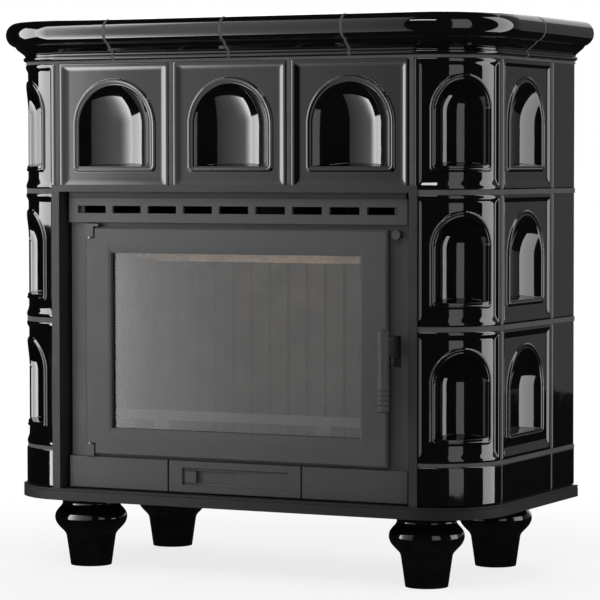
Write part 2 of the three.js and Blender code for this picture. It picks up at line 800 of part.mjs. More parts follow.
// ---------- Insert ----------
const SLOT_X0 = DOOR_HALF - 2;
const SLOT_X1 = DOOR_HALF + 20;
const DRAWER_OPEN = DRAWER_HALF - 7;
const DRAWER_OPEN_Z = [INSERT_LOW + 3, LOWER_TOP - 5.5];
const DOOR_OPEN_HALF = DOOR_HALF - SEAL_IN - SEAL_W - 1;
const DOOR_OPEN_Z = [DOOR_LOW + SEAL_IN - 5 + SEAL_W, DOOR_TOP - SEAL_IN + 5 - SEAL_W];
const LUG_TOP = [DOOR_TOP - 16.5, DOOR_TOP + 6];
const LUG_LOW = [DOOR_LOW - 2.5, DOOR_LOW + 18];
const LUG_X = [-DOOR_HALF, HINGE_X + 10.5];

/** Main frame plate with the openings for door, drawer, latch and damper, and both hinge lugs. */
function insertFront() {
  const half = INSERT_HALF - 2;
  const [y0, y1] = [FRAME_Y - 1, FRAME_BACK + 1];
  const ventZ = (VENT_LOW + INSERT_TOP) / 2;
  const openings = [
    box(-DOOR_OPEN_HALF, DOOR_OPEN_HALF, y0, y1, DOOR_OPEN_Z[0], DOOR_OPEN_Z[1]),
    box(-DRAWER_OPEN, DRAWER_OPEN, y0, y1, DRAWER_OPEN_Z[0], DRAWER_OPEN_Z[1]),
    box(SLOT_X0, SLOT_X1, y0, y1, PIVOT_Z - 33, PIVOT_Z + 18),
    box(-half + 25, half - 25, y0, y1, ventZ - 9, ventZ + 9),
    rodY(ROD_R + 1, KNOB_X, KNOB_Z, y0, y1),
  ];
  const lugs = [
    box(LUG_X[0], LUG_X[1], DOOR_Y, FRAME_Y + 1, LUG_TOP[0], LUG_TOP[1]),
    box(LUG_X[0], LUG_X[1] + 9.5, DOOR_Y, FRAME_Y + 1, LUG_TOP[1] - 4.5, LUG_TOP[1]),
    box(LUG_X[0], LUG_X[1], DOOR_Y, FRAME_Y + 1, LUG_LOW[0], LUG_LOW[1]),
  ];
  const bores = [
    rodZ(PIN_R + GAP, HINGE_X, HINGE_Y, LUG_TOP[0] - 1, LUG_TOP[1] - 3),
    rodZ(PIN_R + GAP, HINGE_X, HINGE_Y, LUG_LOW[0] + 3, LUG_LOW[1] + 1),
  ];
  return box(-half, half, FRAME_Y, FRAME_BACK, INSERT_LOW, INSERT_TOP - 0.6)
    .subtract(join(openings))
    .add(join(lugs))
    .subtract(join(bores));
}

function ventPanel() {
  const pitch = (2 * INSERT_HALF) / (VENT_SLOTS + 0.343);
  const long = pitch - 14;
  const z = INSERT_TOP - 21.2;
  const edge = 1;
  const slots = Array.from({ length: VENT_SLOTS }, (_, i) => {
    const x = (i - (VENT_SLOTS - 1) / 2) * pitch;
    const [z0, z1] = [z - VENT_SLOT_H / 2, z + VENT_SLOT_H / 2];
    return box(x - long / 2, x + long / 2, PANEL_Y - 1, FRAME_Y + 1, z0, z1);
  });
  return stack([
    [PANEL_Y, edge - INSERT_HALF, INSERT_HALF - edge, VENT_LOW + edge, INSERT_TOP - edge],
    [PANEL_Y + edge, -INSERT_HALF, INSERT_HALF, VENT_LOW, INSERT_TOP],
    [FRAME_Y, -INSERT_HALF, INSERT_HALF, VENT_LOW, INSERT_TOP],
  ]).subtract(join(slots));
}

/** Plain cover beside the drawer. */
function cover(x0, x1) {
  const edge = 1;
  return stack([
    [PANEL_Y, x0 + edge, x1 - edge, INSERT_LOW + edge, LOWER_TOP - edge],
    [PANEL_Y + edge, x0, x1, INSERT_LOW, LOWER_TOP],
    [FRAME_Y, x0, x1, INSERT_LOW, LOWER_TOP],
  ]);
}

const RAIL_HALF = FLUE_R + 4;
const RAIL_T = 3;
const DAMPER_Z = FIREBOX_TOP - 16;

/** Welded firebox: open front, ash chamber below the floor, flue hole and damper rails above. */
function firebox() {
  const half = FIREBOX_HALF;
  const inner = half - WALL_T;
  const floorLow = FLOOR_TOP - FLOOR_T;
  const [front, back] = [FIREBOX_Y, FIREBOX_BACK - WALL_T];
  const cavity = box(-inner, inner, front - 1, back, FLOOR_TOP, FIREBOX_TOP - WALL_T);
  const ash = box(-inner, inner, front - 1, back, BASE_TOP + WALL_T, floorLow);
  const holeHalf = GRATE_HALF - GRATE_SEAT;
  const grateHole = box(
    -holeHalf,
    holeHalf,
    GRATE_Y[0] + GRATE_SEAT,
    GRATE_Y[1] - GRATE_SEAT,
    floorLow - 1,
    FLOOR_TOP + 1,
  );
  const flue = rodZ(FLUE_R - FLUE_T, 0, FLUE_Y, FIREBOX_TOP - WALL_T - 1, FIREBOX_TOP + 1, 24);
  const rail = (sign) => {
    const [y0, y1] = [LINING_Y, back + 1];
    const wall = [RAIL_HALF, RAIL_HALF + RAIL_T].map((x) => sign * x).sort((a, b) => a - b);
    const lip = [RAIL_HALF - 6, RAIL_HALF + 1].map((x) => sign * x).sort((a, b) => a - b);
    return box(wall[0], wall[1], y0, y1, DAMPER_Z - 2.5, FIREBOX_TOP - 1).add(
      box(lip[0], lip[1], y0, y1, DAMPER_Z - 2.5, DAMPER_Z - 0.5),
    );
  };
  return box(-half, half, front, FIREBOX_BACK, BASE_TOP, FIREBOX_TOP)
    .subtract(join([cavity, ash, grateHole, flue]))
    .add(rail(1))
    .add(rail(-1));
}

/** Cast grate with a row of slots. */
function grate() {
  const [y0, y1] = [GRATE_Y[0] + GRATE_RIM, GRATE_Y[1] - GRATE_RIM];
  const slots = Array.from({ length: GRATE_SLOTS }, (_, i) => {
    const x = (i - (GRATE_SLOTS - 1) / 2) * GRATE_PITCH;
    const side = GRATE_SLOT_W / 2;
    return box(x - side, x + side, y0, y1, FLOOR_TOP - 1, FLOOR_TOP + GRATE_T + 1);
  });
  return box(
    -GRATE_HALF,
    GRATE_HALF,
    GRATE_Y[0],
    GRATE_Y[1],
    FLOOR_TOP,
    FLOOR_TOP + GRATE_T,
  ).subtract(join(slots));
}

/** Low guard bar behind the door on two tapered legs. */
function logGuard() {
  const half = LINING_HALF - 2;
  const [low, high] = [FLOOR_TOP + GUARD_CLEAR, FLOOR_TOP + GUARD_CLEAR + GUARD_H];
  const back = GUARD_Y + GUARD_T;
  const leg = (x) =>
    polygon([
      [x - GUARD_LEG_FOOT / 2, FLOOR_TOP],
      [x + GUARD_LEG_FOOT / 2, FLOOR_TOP],
      [x + GUARD_LEG_HEAD / 2, low + 1],
      [x - GUARD_LEG_HEAD / 2, low + 1],
    ]);
  return box(-half, half, GUARD_Y, back, low, high)
    .add(prismY(leg(-GUARD_LEG_X), GUARD_Y, back))
    .add(prismY(leg(GUARD_LEG_X), GUARD_Y, back));
}

/** Back board of the lining, grooved so that upright ribs stand between the grooves. */
function backLining() {
  const half = LINING_HALF - 0.5;
  const pitch = (2 * half) / RIBS;
  const grooves = Array.from({ length: RIBS - 1 }, (_, i) => {
    const x = (i + 1) * pitch - half;
    const plan = polygon([
      [x - RIB_GROOVE / 2, BACK_LINING_Y - 1],
      [x + RIB_GROOVE / 2, BACK_LINING_Y - 1],
      [x + RIB_FOOT / 2, BACK_LINING_Y + RIB_DEPTH],
      [x - RIB_FOOT / 2, BACK_LINING_Y + RIB_DEPTH],
    ]);
    return prismZ(plan, FLOOR_TOP - 1, LINING_TOP + 1);
  });
  return box(
    -half,
    half,
    BACK_LINING_Y,
    BACK_LINING_Y + LINING_T,
    FLOOR_TOP,
    LINING_TOP,
  ).subtract(join(grooves));
}

const BEVEL_RISE = 13;

/** Right side lining with a ledge that carries the baffle. */
function sideLining() {
  const [x0, x1] = [LINING_HALF, LINING_HALF + LINING_T];
  return box(x0, x1, LINING_Y, FIREBOX_BACK - WALL_T, FLOOR_TOP, BAFFLE_Z + BEVEL_RISE).add(
    box(x0 + LINING_T / 2, x1, LINING_Y, FIREBOX_BACK - WALL_T, BAFFLE_Z, LINING_TOP),
  );
}

function baffle() {
  const half = LINING_HALF + LINING_T / 2 - 0.5;
  const low = BAFFLE_Z + BEVEL_RISE;
  const section = polygon([
    [-half, low],
    [-LINING_HALF, low],
    [BAFFLE_BEVEL - LINING_HALF, BAFFLE_Z],
    [LINING_HALF - BAFFLE_BEVEL, BAFFLE_Z],
    [LINING_HALF, low],
    [half, low],
    [half, BAFFLE_Z + BAFFLE_T],
    [-half, BAFFLE_Z + BAFFLE_T],
  ]);
  return prismY(section, BAFFLE_Y, BACK_LINING_Y - 1);
}

// ---------- Door ----------
const SEAL_HALF = DOOR_HALF - SEAL_IN;
const SEAL_Z = [DOOR_LOW + SEAL_IN - 5, DOOR_TOP - SEAL_IN + 5];
const GLASS_Y = DOOR_BACK - 0.7;
const PIN_DEEP = 22;

/** Cast door frame: sloped reveal, glass rebate and flange, seal channel, hinge notches, pivot. */
function doorFrame() {
  const half = DOOR_HALF;
  const edge = DOOR_EDGE;
  const plate = stack([
    [DOOR_Y, edge - half, half - edge, DOOR_LOW + edge, DOOR_TOP - edge],
    [DOOR_Y + edge, -half, half, DOOR_LOW, DOOR_TOP],
    [DOOR_BACK, -half, half, DOOR_LOW, DOOR_TOP],
  ]);
  const flange = box(
    -GLASS_HALF - FLANGE_W,
    GLASS_HALF + FLANGE_W,
    DOOR_BACK - 1,
    FLANGE_BACK,
    GLASS_Z0 - FLANGE_W,
    GLASS_Z1 + FLANGE_W,
  );
  const wide = SLOPE_RING_W + SLOPE_RING_W / SLOPE_RING_D;
  const tall = SLOPE_RING_H + SLOPE_RING_H / SLOPE_RING_D;
  const reveal = stack([
    [DOOR_Y - 1, -GLASS_HALF - wide, GLASS_HALF + wide, GLASS_Z0 - tall, GLASS_Z1 + tall],
    [DOOR_Y + SLOPE_RING_D, -GLASS_HALF, GLASS_HALF, GLASS_Z0, GLASS_Z1],
    [FLANGE_BACK + 1, -GLASS_HALF, GLASS_HALF, GLASS_Z0, GLASS_Z1],
  ]);
  const rebate = box(
    -GLASS_HALF - REBATE_W,
    GLASS_HALF + REBATE_W,
    GLASS_Y - GAP,
    FLANGE_BACK + 1,
    GLASS_Z0 - REBATE_W,
    GLASS_Z1 + REBATE_W,
  );
  const channel = ring(
    SEAL_HALF + 0.5,
    SEAL_Z[0] - 0.5,
    SEAL_Z[1] + 0.5,
    SEAL_W + 1,
    DOOR_BACK - SEAL_D,
    DOOR_BACK + 1,
  );
  const notchX = LUG_X[1] + 3;
  const notches = [
    box(-half - 1, notchX, DOOR_Y - 1, DOOR_BACK + 1, LUG_TOP[0] - 2.5, DOOR_TOP + 1),
    box(-half - 1, notchX, DOOR_Y - 1, DOOR_BACK + 1, DOOR_LOW - 1, LUG_LOW[1] + 2.6),
  ];
  const bores = [
    rodZ(PIN_R + GAP, HINGE_X, HINGE_Y, LUG_TOP[0] - 2.5 - PIN_DEEP, LUG_TOP[0]),
    rodZ(PIN_R + GAP, HINGE_X, HINGE_Y, LUG_LOW[1], LUG_LOW[1] + 2.6 + PIN_DEEP),
  ];
  const relief = prismZ(
    polygon([
      [-half - 1, DOOR_BACK + 1],
      [-half - 1, DOOR_BACK - 5.5],
      [-half + 5.5, DOOR_BACK + 1],
    ]),
    DOOR_LOW - 1,
    DOOR_TOP + 1,
  );
  const pivot = rodX(PIVOT_R, PIVOT_Y, PIVOT_Z, half - 1, HANDLE_X + BLADE_T / 2 + 1);
  return plate
    .add(flange)
    .subtract(join([reveal, rebate, channel, ...notches, ...bores, relief]))
    .add(pivot);
}

function doorGlass() {
  const out = REBATE_W - 0.5;
  return box(
    -GLASS_HALF - out,
    GLASS_HALF + out,
    GLASS_Y,
    GLASS_Y + GLASS_T,
    GLASS_Z0 - out,
    GLASS_Z1 + out,
  );
}

const glassRetainer = () => {
  const out = REBATE_W - 0.5;
  const y = GLASS_Y + GLASS_T + GAP;
  return ring(GLASS_HALF + out, GLASS_Z0 - out, GLASS_Z1 + out, out, y, y + 2.5);
};

const doorSeal = () =>
  ring(SEAL_HALF, SEAL_Z[0], SEAL_Z[1], SEAL_W, DOOR_BACK - SEAL_D + GAP, FRAME_Y - 0.2);

function hingePin(low, high) {
  return rodZ(PIN_R, HINGE_X, HINGE_Y, low, high);
}

/** Bar handle with ring grooves, a blade through the frame slot and the claw behind it. */
function doorHandle() {
  const low = PIVOT_Z + HANDLE_LOW;
  const high = PIVOT_Z + HANDLE_TOP;
  const waist = HANDLE_R - 0.9;
  const rings = Array.from({ length: 4 }, (_, i) => low + 11.5 + 8.1 * i);
  const grooves = rings.flatMap((z) => [
    [HANDLE_R - 0.25, z - 1.3],
    [HANDLE_R - 1.3, z],
    [HANDLE_R - 0.25, z + 1.3],
  ]);
  const bar = lathe(
    [
      [0, low],
      [HANDLE_R - 2.5, low],
      [HANDLE_R, low + 2.5],
      ...grooves,
      [waist, low + 60],
      [waist, high - 55],
      [HANDLE_R, high - 3],
      [HANDLE_R - 3, high],
      [0, high],
    ],
    12,
    HANDLE_X,
    HANDLE_Y,
  );
  const claw = FRAME_BACK + 1;
  const blade = prismX(
    polygon([
      [HANDLE_Y, PIVOT_Z - 12.5],
      [PIVOT_Y - 8, PIVOT_Z - 12.5],
      [PIVOT_Y + 3, PIVOT_Z - 17],
      [claw + 6, PIVOT_Z - 17],
      [claw + 6, PIVOT_Z + 26],
      [claw, PIVOT_Z + 26],
      [claw, PIVOT_Z + 16],
      [PIVOT_Y + 3, PIVOT_Z + 16],
      [PIVOT_Y - 8, PIVOT_Z + 12.5],
      [HANDLE_Y, PIVOT_Z + 12.5],
    ]),
    HANDLE_X - 5,
    HANDLE_X - 5 + BLADE_T,
  );
  const bore = rodX(PIVOT_R + GAP, PIVOT_Y, PIVOT_Z, HANDLE_X - 6, HANDLE_X + BLADE_T);
  return bar.add(blade).subtract(bore);
}

// ---------- Ash drawer, air slide and damper ----------
const RECESS = { x0: -98.8, x1: 100, depth: 4 };
const RECESS_Z = [INSERT_LOW + 13, LOWER_TOP - 12.5];
const SLIT = { x0: -95.7, x1: 2 };
const SLIT_Z = [RECESS_Z[0] + 4, RECESS_Z[1] - 5];
const TRAY_WALL = 2;
const TRAY_D = 300;

/** Drawer front with its recess and slit, and the ash tray behind it. */
function ashDrawer() {
  const back = FRAME_Y - GAP;
  const edge = 1;
  const half = DRAWER_HALF;
  const front = stack([
    [PANEL_Y, edge - half, half - edge, INSERT_LOW + edge, LOWER_TOP - edge],
    [PANEL_Y + edge, -half, half, INSERT_LOW, LOWER_TOP],
    [back, -half, half, INSERT_LOW, LOWER_TOP],
  ]);
  const trayHalf = DRAWER_OPEN - 3;
  const trayY = FRAME_Y + 4;
  const [z0, z1] = [DRAWER_OPEN_Z[0] + 1, DRAWER_OPEN_Z[1] - 2];
  const inner = trayHalf - TRAY_WALL;
  const floor = z0 + TRAY_WALL;
  const holes = [-2, -1, 0, 1, 2].map((k) =>
    rodY(6, k * 30, (SLIT_Z[0] + SLIT_Z[1]) / 2, trayY - 1, trayY + TRAY_WALL + 1, 8),
  );
  return front
    .add(box(-trayHalf, trayHalf, back - 1, trayY + TRAY_D, z0, z1))
    .subtract(box(-inner, inner, back, trayY, floor, z1 + 1))
    .subtract(
      box(-inner, inner, trayY + TRAY_WALL, trayY + TRAY_D - TRAY_WALL, floor, z1 + 1),
    )
    .subtract(
      box(RECESS.x0, RECESS.x1, PANEL_Y - 1, PANEL_Y + RECESS.depth, RECESS_Z[0], RECESS_Z[1]),
    )
    .subtract(box(SLIT.x0, SLIT.x1, PANEL_Y, back + 1, SLIT_Z[0], SLIT_Z[1]))
    .subtract(join(holes));
}

/** Air slide: finger piece in the slit and the blade behind the drawer front. */
function airSlider() {
  const y = FRAME_Y;
  const x0 = SLIT.x0 + GAP;
  const x1 = x0 + FINGER_W;
  const finger = prismZ(
    polygon([
      [x0, y + 1],
      [x0, PANEL_Y + 2.5],
      [x0 + FINGER_RAMP, PANEL_Y - 0.5],
      [x1, PANEL_Y - 0.5],
      [x1, y + 1],
    ]),
    SLIT_Z[0] + GAP,
    SLIT_Z[1] - GAP,
  );
  const blade = box(
    SLIT.x0 - SLIDE_LAP,
    SLIT.x1 + SLIDE_LAP,
    y,
    y + SLIDE_T,
    SLIT_Z[0] - 3,
    SLIT_Z[1] + 3,
  );
  return finger.add(blade);
}

/** Damper: knob, pull rod, cross arm and the plate that slides under the flue hole. */
function damper() {
  const armY = FLUE_Y - FLUE_R - 22;
  const plateHalf = RAIL_HALF - 1;
  const reach = FLUE_Y + FLUE_R + 2;
  const knob = rodY(KNOB_R, KNOB_X, KNOB_Z, DOOR_Y + 1, FRAME_Y - GAP, 16);
  const armBack = armY + ARM_W;
  const rod = rodY(ROD_R, KNOB_X, KNOB_Z, FRAME_Y - 1, armBack);
  const armZ = DAMPER_Z - 9;
  const plateTop = DAMPER_Z + DAMPER_T;
  const arm = box(-ARM_HALF, KNOB_X + ROD_R / 2, armY, armBack, armZ, DAMPER_Z - 3.5);
  const web = box(-ARM_HALF, ARM_HALF, armY, armBack, armZ, plateTop);
  const plate = box(-plateHalf, plateHalf, armBack - 8, reach, DAMPER_Z, plateTop);
  const bleed = rodZ(DAMPER_BLEED_R, 0, FLUE_Y, DAMPER_Z - 1, plateTop + 1);
  return join([knob, rod, arm, web, plate]).subtract(bleed);
}

// ---------- Assembly ----------
const stove = new THREE.Group();
const rowCentre = (row) => ROW_JOINTS[row] + PITCH / 2;
const place = (mesh, x, y, z, turn = 0) => {
  mesh.position.set(x, y, z);
  mesh.rotation.z = turn;
  return mesh;
};

const flat = node("flat", flatTile(), GLAZE);
const corner = node("corner", cornerTile(), GLAZE);
const strip = node("strip", slab((END_W - JOINT / 2) / 2, TILE / 2, SLAB_T), GLAZE);
const leg = node("leg", foot(), FEET);
const plinthSide = node("plinth", plinth(), GLAZE);
const liningSide = node("lining", sideLining(), LINING);
const corniceCorner = node(
  "cornice",
  sweep(
    corniceSection(),
    rightPlan(CORNICE_FRONT_JOINT + cut, CORNICE_SIDE_JOINT - cut),
  ),
  GLAZE,
);
const corniceSide = node(
  "cornice",
  sweep(corniceSection(), sideRun(CORNICE_SIDE_JOINT + cut, BODY_D)),
  GLAZE,
);
const corniceFront = node(
  "cornice",
  sweep(corniceSection(), frontRun(cut, CORNICE_FRONT_JOINT - cut)),
  GLAZE,
);

/** Everything that stands on both sides; the left side is the right one seen in a mirror. */
function sideSet(side) {
  const group = new THREE.Group();
  const stripY = SIDE_END + JOINT / 2 + (END_W - JOINT / 2) / 2;
  const sideY = CORNER_R + PITCH / 2;
  for (let row = 0; row < ROWS; row += 1) {
    const z = rowCentre(row);
    const tag = `${side}_${row + 1}`;
    group.add(
      place(copyOf(corner, `corner_tile_${tag}`), OPENING_HALF, CORNER_R, z),
      place(copyOf(flat, `side_tile_${tag}`), BODY_HALF, sideY, z, Math.PI / 2),
      place(copyOf(strip, `end_tile_${tag}`), BODY_HALF, stripY, z, Math.PI / 2),
    );
  }
  group.add(
    copyOf(plinthSide, `plinth_${side}`),
    copyOf(corniceFront, `cornice_front_${side}`),
    copyOf(corniceCorner, `cornice_corner_${side}`),
    copyOf(corniceSide, `cornice_side_${side}`),
    copyOf(liningSide, `lining_${side}`),
    place(copyOf(leg, `foot_front_${side}`), FOOT_X, FOOT_Y[0], 0),
    place(copyOf(leg, `foot_back_${side}`), FOOT_X, FOOT_Y[1], 0),
  );
  group.scale.x = side === "left" ? -1 : 1;
  return group;
}

stove.add(sideSet("right"), sideSet("left"));
for (let i = 0; i < FRONT_TILES; i += 1) {
  const x = (i - (FRONT_TILES - 1) / 2) * PITCH;
  stove.add(place(copyOf(flat, `front_tile_${i + 1}`), x, 0, rowCentre(ROWS - 1)));
}

const DRAWER_SLIT = 2; // gap between the drawer and each cover
stove.add(
  node("mortar", mortar(), MORTAR),
  node("base_plate", basePlate(), BLACK_STEEL),
  node("top_plate", topPlate(), BLACK_STEEL),
  node("back_panel", backPanel(), BLACK_STEEL),
  node("flue_pipe", fluePipe(), BLACK_STEEL),
  node("surround_frame", surround(), STEEL),
  node("insert_front", insertFront(), STEEL),
  node("vent_panel", ventPanel(), STEEL),
  node("cover_left", cover(-INSERT_HALF, -DRAWER_HALF - DRAWER_SLIT), STEEL),
  node("cover_right", cover(DRAWER_HALF + DRAWER_SLIT, INSERT_HALF), STEEL),
  node("firebox_body", firebox(), BLACK_STEEL),
  node("grate", grate(), IRON),
  node("log_guard", logGuard(), IRON),
  node("lining_back", backLining(), LINING),
  node("baffle", baffle(), LINING),
  node("door_frame", doorFrame(), STEEL),
  node("door_glass", doorGlass(), GLASS),
  node("glass_retainer", glassRetainer(), BLACK_STEEL),
  node("door_seal", doorSeal(), ROPE),
  node("door_handle", doorHandle(), STEEL),
  node("hinge_pin_top", hingePin(LUG_TOP[0] - PIN_DEEP, LUG_TOP[1] - 3.5), BRIGHT),
  node("hinge_pin_bottom", hingePin(LUG_LOW[0] + 3.5, LUG_LOW[1] + PIN_DEEP), BRIGHT),
  node("ash_drawer", ashDrawer(), STEEL),
  node("air_slider", airSlider(), STEEL),
  node("damper_slide", damper(), STEEL),
);

const frontReach = CORNICE_NOSE_X + CORNICE_NOSE_R;
const backReach = FOOT_Y[1] + FOOT_R;
stove.position.y = (frontReach - backReach) / 2;

const root = new THREE.Group();
root.add(stove);

export default root;
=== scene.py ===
# %% [markdown]
# # A tiled stove, glazed black
#
# A tiled stove is a jacket of hollow clay tiles round an iron firebox. This one has glossy black tiles with arched
# niches, a heavy cornice, turned feet and a steel fireplace insert with a glass door. The construction comes from a
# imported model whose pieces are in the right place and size, and this lesson gives every surface its real shape and
# finish. Loading the model comes first, because every fine piece takes its place from it.

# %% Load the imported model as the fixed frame
import json
import math

import bmesh
import bpy
import numpy as np
from mathutils import Matrix, Vector


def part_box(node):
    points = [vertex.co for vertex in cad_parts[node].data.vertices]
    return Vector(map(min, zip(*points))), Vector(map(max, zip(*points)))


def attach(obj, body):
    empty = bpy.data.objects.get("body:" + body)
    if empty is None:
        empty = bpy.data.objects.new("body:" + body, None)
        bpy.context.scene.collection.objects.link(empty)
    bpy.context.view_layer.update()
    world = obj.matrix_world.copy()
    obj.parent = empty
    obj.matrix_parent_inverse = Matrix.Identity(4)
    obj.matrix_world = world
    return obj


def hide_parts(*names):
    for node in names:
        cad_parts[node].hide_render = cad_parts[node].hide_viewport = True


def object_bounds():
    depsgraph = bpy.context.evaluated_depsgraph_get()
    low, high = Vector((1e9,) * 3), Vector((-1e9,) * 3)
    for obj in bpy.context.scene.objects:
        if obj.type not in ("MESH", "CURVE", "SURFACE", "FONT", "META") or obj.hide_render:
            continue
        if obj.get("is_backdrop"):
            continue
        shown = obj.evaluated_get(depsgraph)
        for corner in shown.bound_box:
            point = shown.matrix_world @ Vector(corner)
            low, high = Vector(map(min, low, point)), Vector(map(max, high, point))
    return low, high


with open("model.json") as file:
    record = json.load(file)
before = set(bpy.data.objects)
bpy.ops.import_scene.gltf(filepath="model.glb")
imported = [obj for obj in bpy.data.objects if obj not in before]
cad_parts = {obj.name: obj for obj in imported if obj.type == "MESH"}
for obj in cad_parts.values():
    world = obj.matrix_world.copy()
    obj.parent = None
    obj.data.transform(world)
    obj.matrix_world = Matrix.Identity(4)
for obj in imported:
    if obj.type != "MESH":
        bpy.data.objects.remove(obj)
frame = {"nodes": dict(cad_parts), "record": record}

MM = 0.001
BOX_LOW, BOX_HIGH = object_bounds()
WIDTH, DEPTH, HEIGHT = (BOX_HIGH - BOX_LOW) / MM
print(f"loaded {len(frame['nodes'])} pieces, {WIDTH:.0f} x {DEPTH:.0f} x {HEIGHT:.0f} mm")

# %% [markdown]
# ## Camera
#
# The stove was seen from its right front at about table height, from far away, so its upright lines stay nearly
# parallel. A long lens at that distance does the same. The camera's place and its three angles are set as numbers,
# and the lens is long enough for the stove to fill the square frame.

# %% Camera
CAMERA_AT = Vector((2.3265, -4.6240, 0.6968))
CAMERA_AZIMUTH = math.radians(26.422)
CAMERA_DIP = math.radians(2.581)
CAMERA_ROLL = math.radians(0.055)
SENSOR = 36
LENS = 179.56

camera = bpy.data.objects.new("camera", bpy.data.cameras.new("camera"))
bpy.context.scene.collection.objects.link(camera)
turn = Matrix.Rotation(CAMERA_AZIMUTH, 4, "Z")
tilt = Matrix.Rotation(math.pi / 2 - CAMERA_DIP, 4, "X")
roll = Matrix.Rotation(-CAMERA_ROLL, 4, "Z")
camera.matrix_world = Matrix.Translation(CAMERA_AT) @ turn @ tilt @ roll
camera.data.sensor_width = SENSOR
camera.data.lens = LENS
bpy.context.scene.camera = camera
print(f"camera {CAMERA_AT.length:.2f} m from the stove, lens {LENS} mm")

# %% [markdown]
# ## Tools for finishes
#
# Every finish is a node tree. Colours are picked as sRGB hex values, because that is how a colour is read off a
# paint card, and Blender's sockets want linear light, so one function converts them. A second function adds a node
# together with its settings and links, which keeps a long tree short to read. A third starts a material with its
# shader and with coordinates in millimetres, so that every grain and ripple can be given at its real size.


# %% Colour, node and material helpers
def linear(code):
    """An sRGB hex colour such as '#1c1c1c' as linear red, green, blue and alpha."""
    parts = [int(code[k : k + 2], 16) / 255 for k in (1, 3, 5)]
    return tuple(c / 12.92 if c <= 0.04045 else ((c + 0.055) / 1.055) ** 2.4 for c in parts) + (1.0,)


def add(tree, kind, settings=(), links=()):
    """A new node: settings are its own properties or values of inputs, links are the sockets that feed it."""
    made = tree.nodes.new(kind)
    for key, value in dict(settings).items():
        if isinstance(key, str) and hasattr(made, key):
            setattr(made, key, value)
        else:
            made.inputs[key].default_value = value
    for key, source in dict(links).items():
        tree.links.new(source, made.inputs[key])
    return made


def start_material(name, roughness, metallic=0.0, ior=1.5):
    """A material with one shader, its tree, and the object's coordinates in millimetres."""
    material = bpy.data.materials.new(name)
    material.use_nodes = True
    tree = material.node_tree
    tree.nodes.clear()
    values = {"Roughness": roughness, "Metallic": metallic}
    if not metallic:
        values["IOR"] = ior
    shader = add(tree, "ShaderNodeBsdfPrincipled", values)
    add(tree, "ShaderNodeOutputMaterial", {}, {"Surface": shader.outputs["BSDF"]})
    place = add(tree, "ShaderNodeTexCoord").outputs["Object"]
    metres = {1: (1 / MM,) * 3}
    scaled = add(tree, "ShaderNodeVectorMath", {"operation": "MULTIPLY", **metres}, {0: place})
    return material, tree, shader, scaled.outputs[0]


def ramp(tree, factor, stops):
    """Colours by position along a factor, given as (position, hex colour)."""
    made = add(tree, "ShaderNodeValToRGB", {}, {"Fac": factor})
    bands = made.color_ramp.elements
    while len(bands) < len(stops):
        bands.new(0.5)
    for band, (position, code) in zip(bands, stops):
        band.position = position
        band.color = linear(code)
    return made.outputs["Color"]


# %% [markdown]
# ## Black glaze
#
# The tiles are fired clay under a thick lead-free glaze, coloured black with iron and manganese. The glaze melts in
# the kiln, so it is glass: smooth, with an index a little over 1.5, and mirror-like. It is never quite flat. It
# settles in slow waves some 30 mm long, carries a faint orange peel of about 4 mm, and has a pinhole here and there
# where a gas bubble burst. Where it runs thin on an edge it turns a little browner.

# %% Glaze material
GLAZE_WAVE = 30.0
GLAZE_PEEL = 4.0
PINHOLE_GRID = 26.0


def make_glaze():
    material, tree, shader, mm = start_material("iron_manganese_glaze_fired", 0.05, ior=1.54)
    wave = add(tree, "ShaderNodeTexNoise", {"Scale": 1 / GLAZE_WAVE, "Detail": 1.0}, {"Vector": mm})
    peel = add(tree, "ShaderNodeTexNoise", {"Scale": 1 / GLAZE_PEEL, "Detail": 2.0}, {"Vector": mm})
    pore = add(tree, "ShaderNodeTexVoronoi", {"Scale": 1 / PINHOLE_GRID}, {"Vector": mm})
    thin = add(tree, "ShaderNodeNewGeometry").outputs["Pointiness"]
    colour = ramp(tree, thin, [(0.47, "#060607"), (0.53, "#090909"), (0.62, "#0e0c0b")])
    tree.links.new(colour, shader.inputs["Base Color"])
    sheen = add(
        tree,
        "ShaderNodeMapRange",
        {"From Min": 0.3, "From Max": 0.75, "To Min": 0.035, "To Max": 0.075},
        {"Value": wave.outputs["Fac"]},
    )
    tree.links.new(sheen.outputs["Result"], shader.inputs["Roughness"])
    pit = add(
        tree,
        "ShaderNodeMapRange",
        {"From Min": 0.0, "From Max": 0.022, "To Min": 0.0, "To Max": 1.0},
        {"Value": pore.outputs["Distance"]},
    )
    slow = add(
        tree,
        "ShaderNodeBump",
        {"Strength": 1.0, "Distance": 0.14 * MM},
        {"Height": wave.outputs["Fac"]},
    )
    fine = add(
        tree,
        "ShaderNodeBump",
        {"Strength": 1.0, "Distance": 0.006 * MM},
        {"Height": peel.outputs["Fac"], "Normal": slow.outputs["Normal"]},
    )
    pits = add(
        tree,
        "ShaderNodeBump",
        {"Strength": 1.0, "Distance": 0.08 * MM},
        {"Height": pit.outputs["Result"], "Normal": fine.outputs["Normal"]},
    )
    tree.links.new(pits.outputs["Normal"], shader.inputs["Normal"])
    return material


GLAZE = make_glaze()
print("finish:", GLAZE.name)

# %% [markdown]
# ## Matt paints on steel and iron
#
# The insert is folded steel and cast iron under heat-proof matt paint. Sprayed paint of this kind is a dark grey
# with a fine tooth of half a millimetre, and it scatters light widely. Iron castings show the sand of their mould
# through the paint as a coarser skin. The plates that carry the tiles are powder coated in a deeper black. All three
# differ only in colour and grain, so one function makes them from those values.


